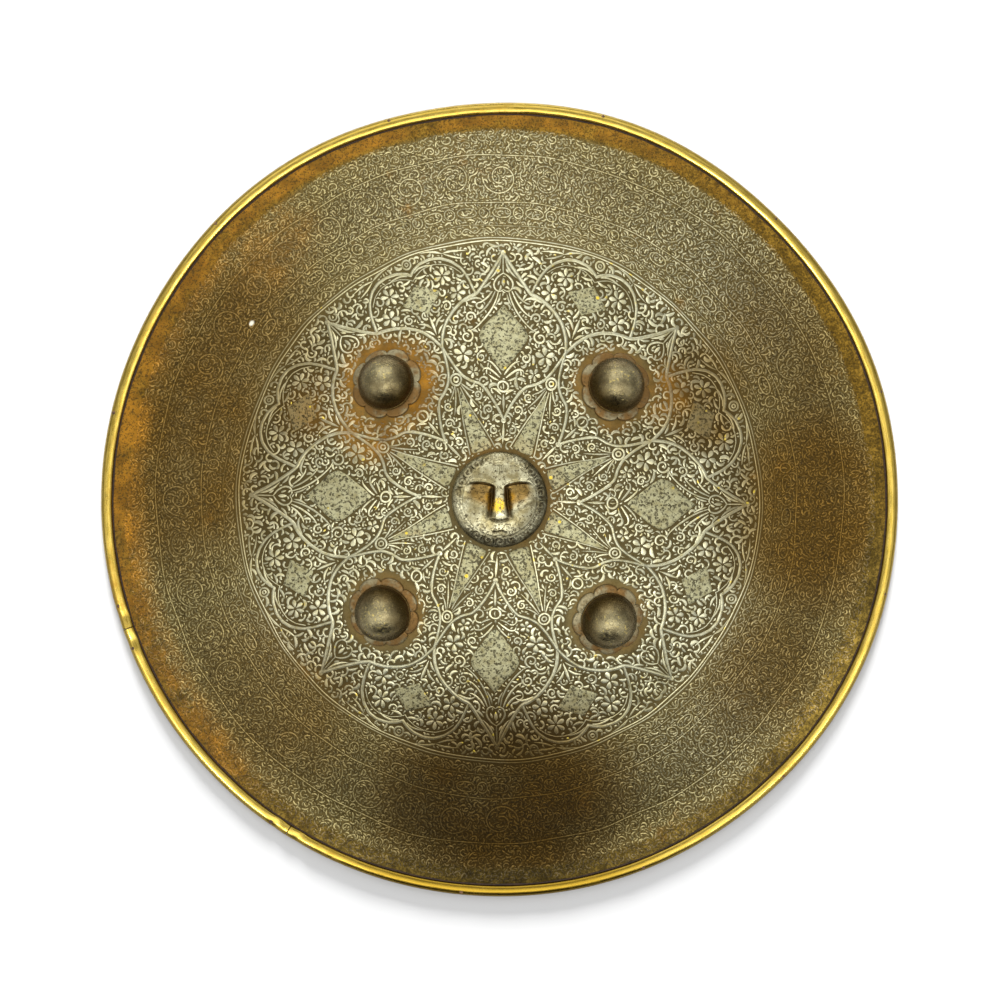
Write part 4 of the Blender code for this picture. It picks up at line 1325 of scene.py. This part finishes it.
def toward(bearing, elevation):
    """The direction to a place in the sky, from angles in degrees."""
    b, e = math.radians(bearing), math.radians(elevation)
    return math.cos(b) * math.cos(e), math.sin(b) * math.cos(e), math.sin(e)


def build_studio():
    bpy.ops.mesh.primitive_plane_add(size=30)
    floor = bpy.context.object
    floor.name = "floor"
    p = Paint("floor_white", 0.0, 0.75)
    p.shader.inputs["Base Color"].default_value = (0.40, 0.40, 0.40, 1)
    floor.data.materials.append(p.material)

    def area(name, place, size, power):
        """A soft lamp that faces the middle of the shield."""
        lamp = bpy.data.lights.new(name, "AREA")
        lamp.shape = "RECTANGLE"
        lamp.size, lamp.size_y = size
        lamp.energy = power
        made = bpy.data.objects.new(name, lamp)
        made.location = place
        made.rotation_euler = (Vector((0, 0, 0.03)) - Vector(place)).to_track_quat("-Z", "Y").to_euler()
        bpy.context.scene.collection.objects.link(made)

    area("key", (-0.3, 1.6, 1.7), (2.2, 1.4), 17)
    area("overhead", (0.15, -0.45, 2.2), (1.5, 1.0), 14)

    def sun(name, bearing, elevation, spread, power, seen):
        """A lamp at this bearing and elevation that only some pieces see; angles in degrees."""
        lamp = bpy.data.lights.new(name, "SUN")
        lamp.energy = power
        lamp.angle = math.radians(spread)
        made = bpy.data.objects.new(name, lamp)
        aim = Vector([-c for c in toward(bearing, elevation)])
        made.rotation_euler = aim.to_track_quat("-Z", "Y").to_euler()
        bpy.context.scene.collection.objects.link(made)
        made.light_linking.receiver_collection = seen
        return made

    floor_only = bpy.data.collections.new("floor_only")
    floor_only.objects.link(floor)
    edging_only = bpy.data.collections.new("edging_only")
    for name in ("edging_short", "edging_long"):
        edging_only.objects.link(bpy.data.objects[name])
    # the soft shadow at the foot, and the edging's white glints
    low = sun("floor_lamp", 90, 12.5, 20, 20.2, floor_only)
    low.light_linking.blocker_collection = edging_only
    sun("glint_west", 226, 62, 4, 1.9, edging_only)
    sun("glint_east", 318, 62, 4, 0.9, edging_only)

    world = bpy.data.worlds.new("studio")
    bpy.context.scene.world = world
    world.use_nodes = True
    tree = world.node_tree
    back = tree.nodes["Background"]
    sky = Paint.__new__(Paint)
    sky.tree = tree
    direction = node(tree, "ShaderNodeTexCoord").outputs["Generated"]
    height = node(tree, "ShaderNodeSeparateXYZ", {0: direction}).outputs[2]

    def lobe(bearing, elevation, inner, outer):
        """1 inside this many degrees of a direction, falling to 0."""
        inputs = {0: direction, 1: toward(bearing, elevation)}
        along = node(tree, "ShaderNodeVectorMath", inputs, operation="DOT_PRODUCT").outputs["Value"]
        return sky.span(along, math.cos(math.radians(outer)), math.cos(math.radians(inner)))

    level = sky.span(height, 0.10, 0.88, 0.42, 0.95)
    for bearing, elevation, inner, outer, much in (
        (90, 16, 15, 50, 0.60),
        (212, 42, 6, 34, 1.2),
        (320, 42, 6, 36, 1.15),
        (268, 63, 8, 26, 0.55),
        (275, 67, 2, 7, 3.5),
    ):
        level = sky.plus(level, sky.times(lobe(bearing, elevation, inner, outer), much))
    # a dark side at the foot
    level = sky.times(level, sky.minus(1.0, sky.times(lobe(270, 22, 24, 42), 0.9)))
    tree.links.new(level, back.inputs["Strength"])
    back.inputs["Color"].default_value = (1, 1, 1, 1)

    camera = bpy.data.cameras.new("camera")
    camera.sensor_width = SENSOR
    camera.lens = SENSOR * PLAN_SCALE / PICTURE
    camera.clip_start = 0.01
    made = bpy.data.objects.new("camera", camera)
    made.location = (*CAMERA_SHIFT, CAMERA_HEIGHT)
    bpy.context.scene.collection.objects.link(made)
    bpy.context.scene.camera = made
    bpy.context.scene.view_settings.view_transform = "Standard"


build_plate()
build_edging()
build_seam()
build_pins()
build_bosses()
build_face()
fields = regions()
build_medallion(fields["medallion"])
build_borders(fields["outer"])
build_studio()
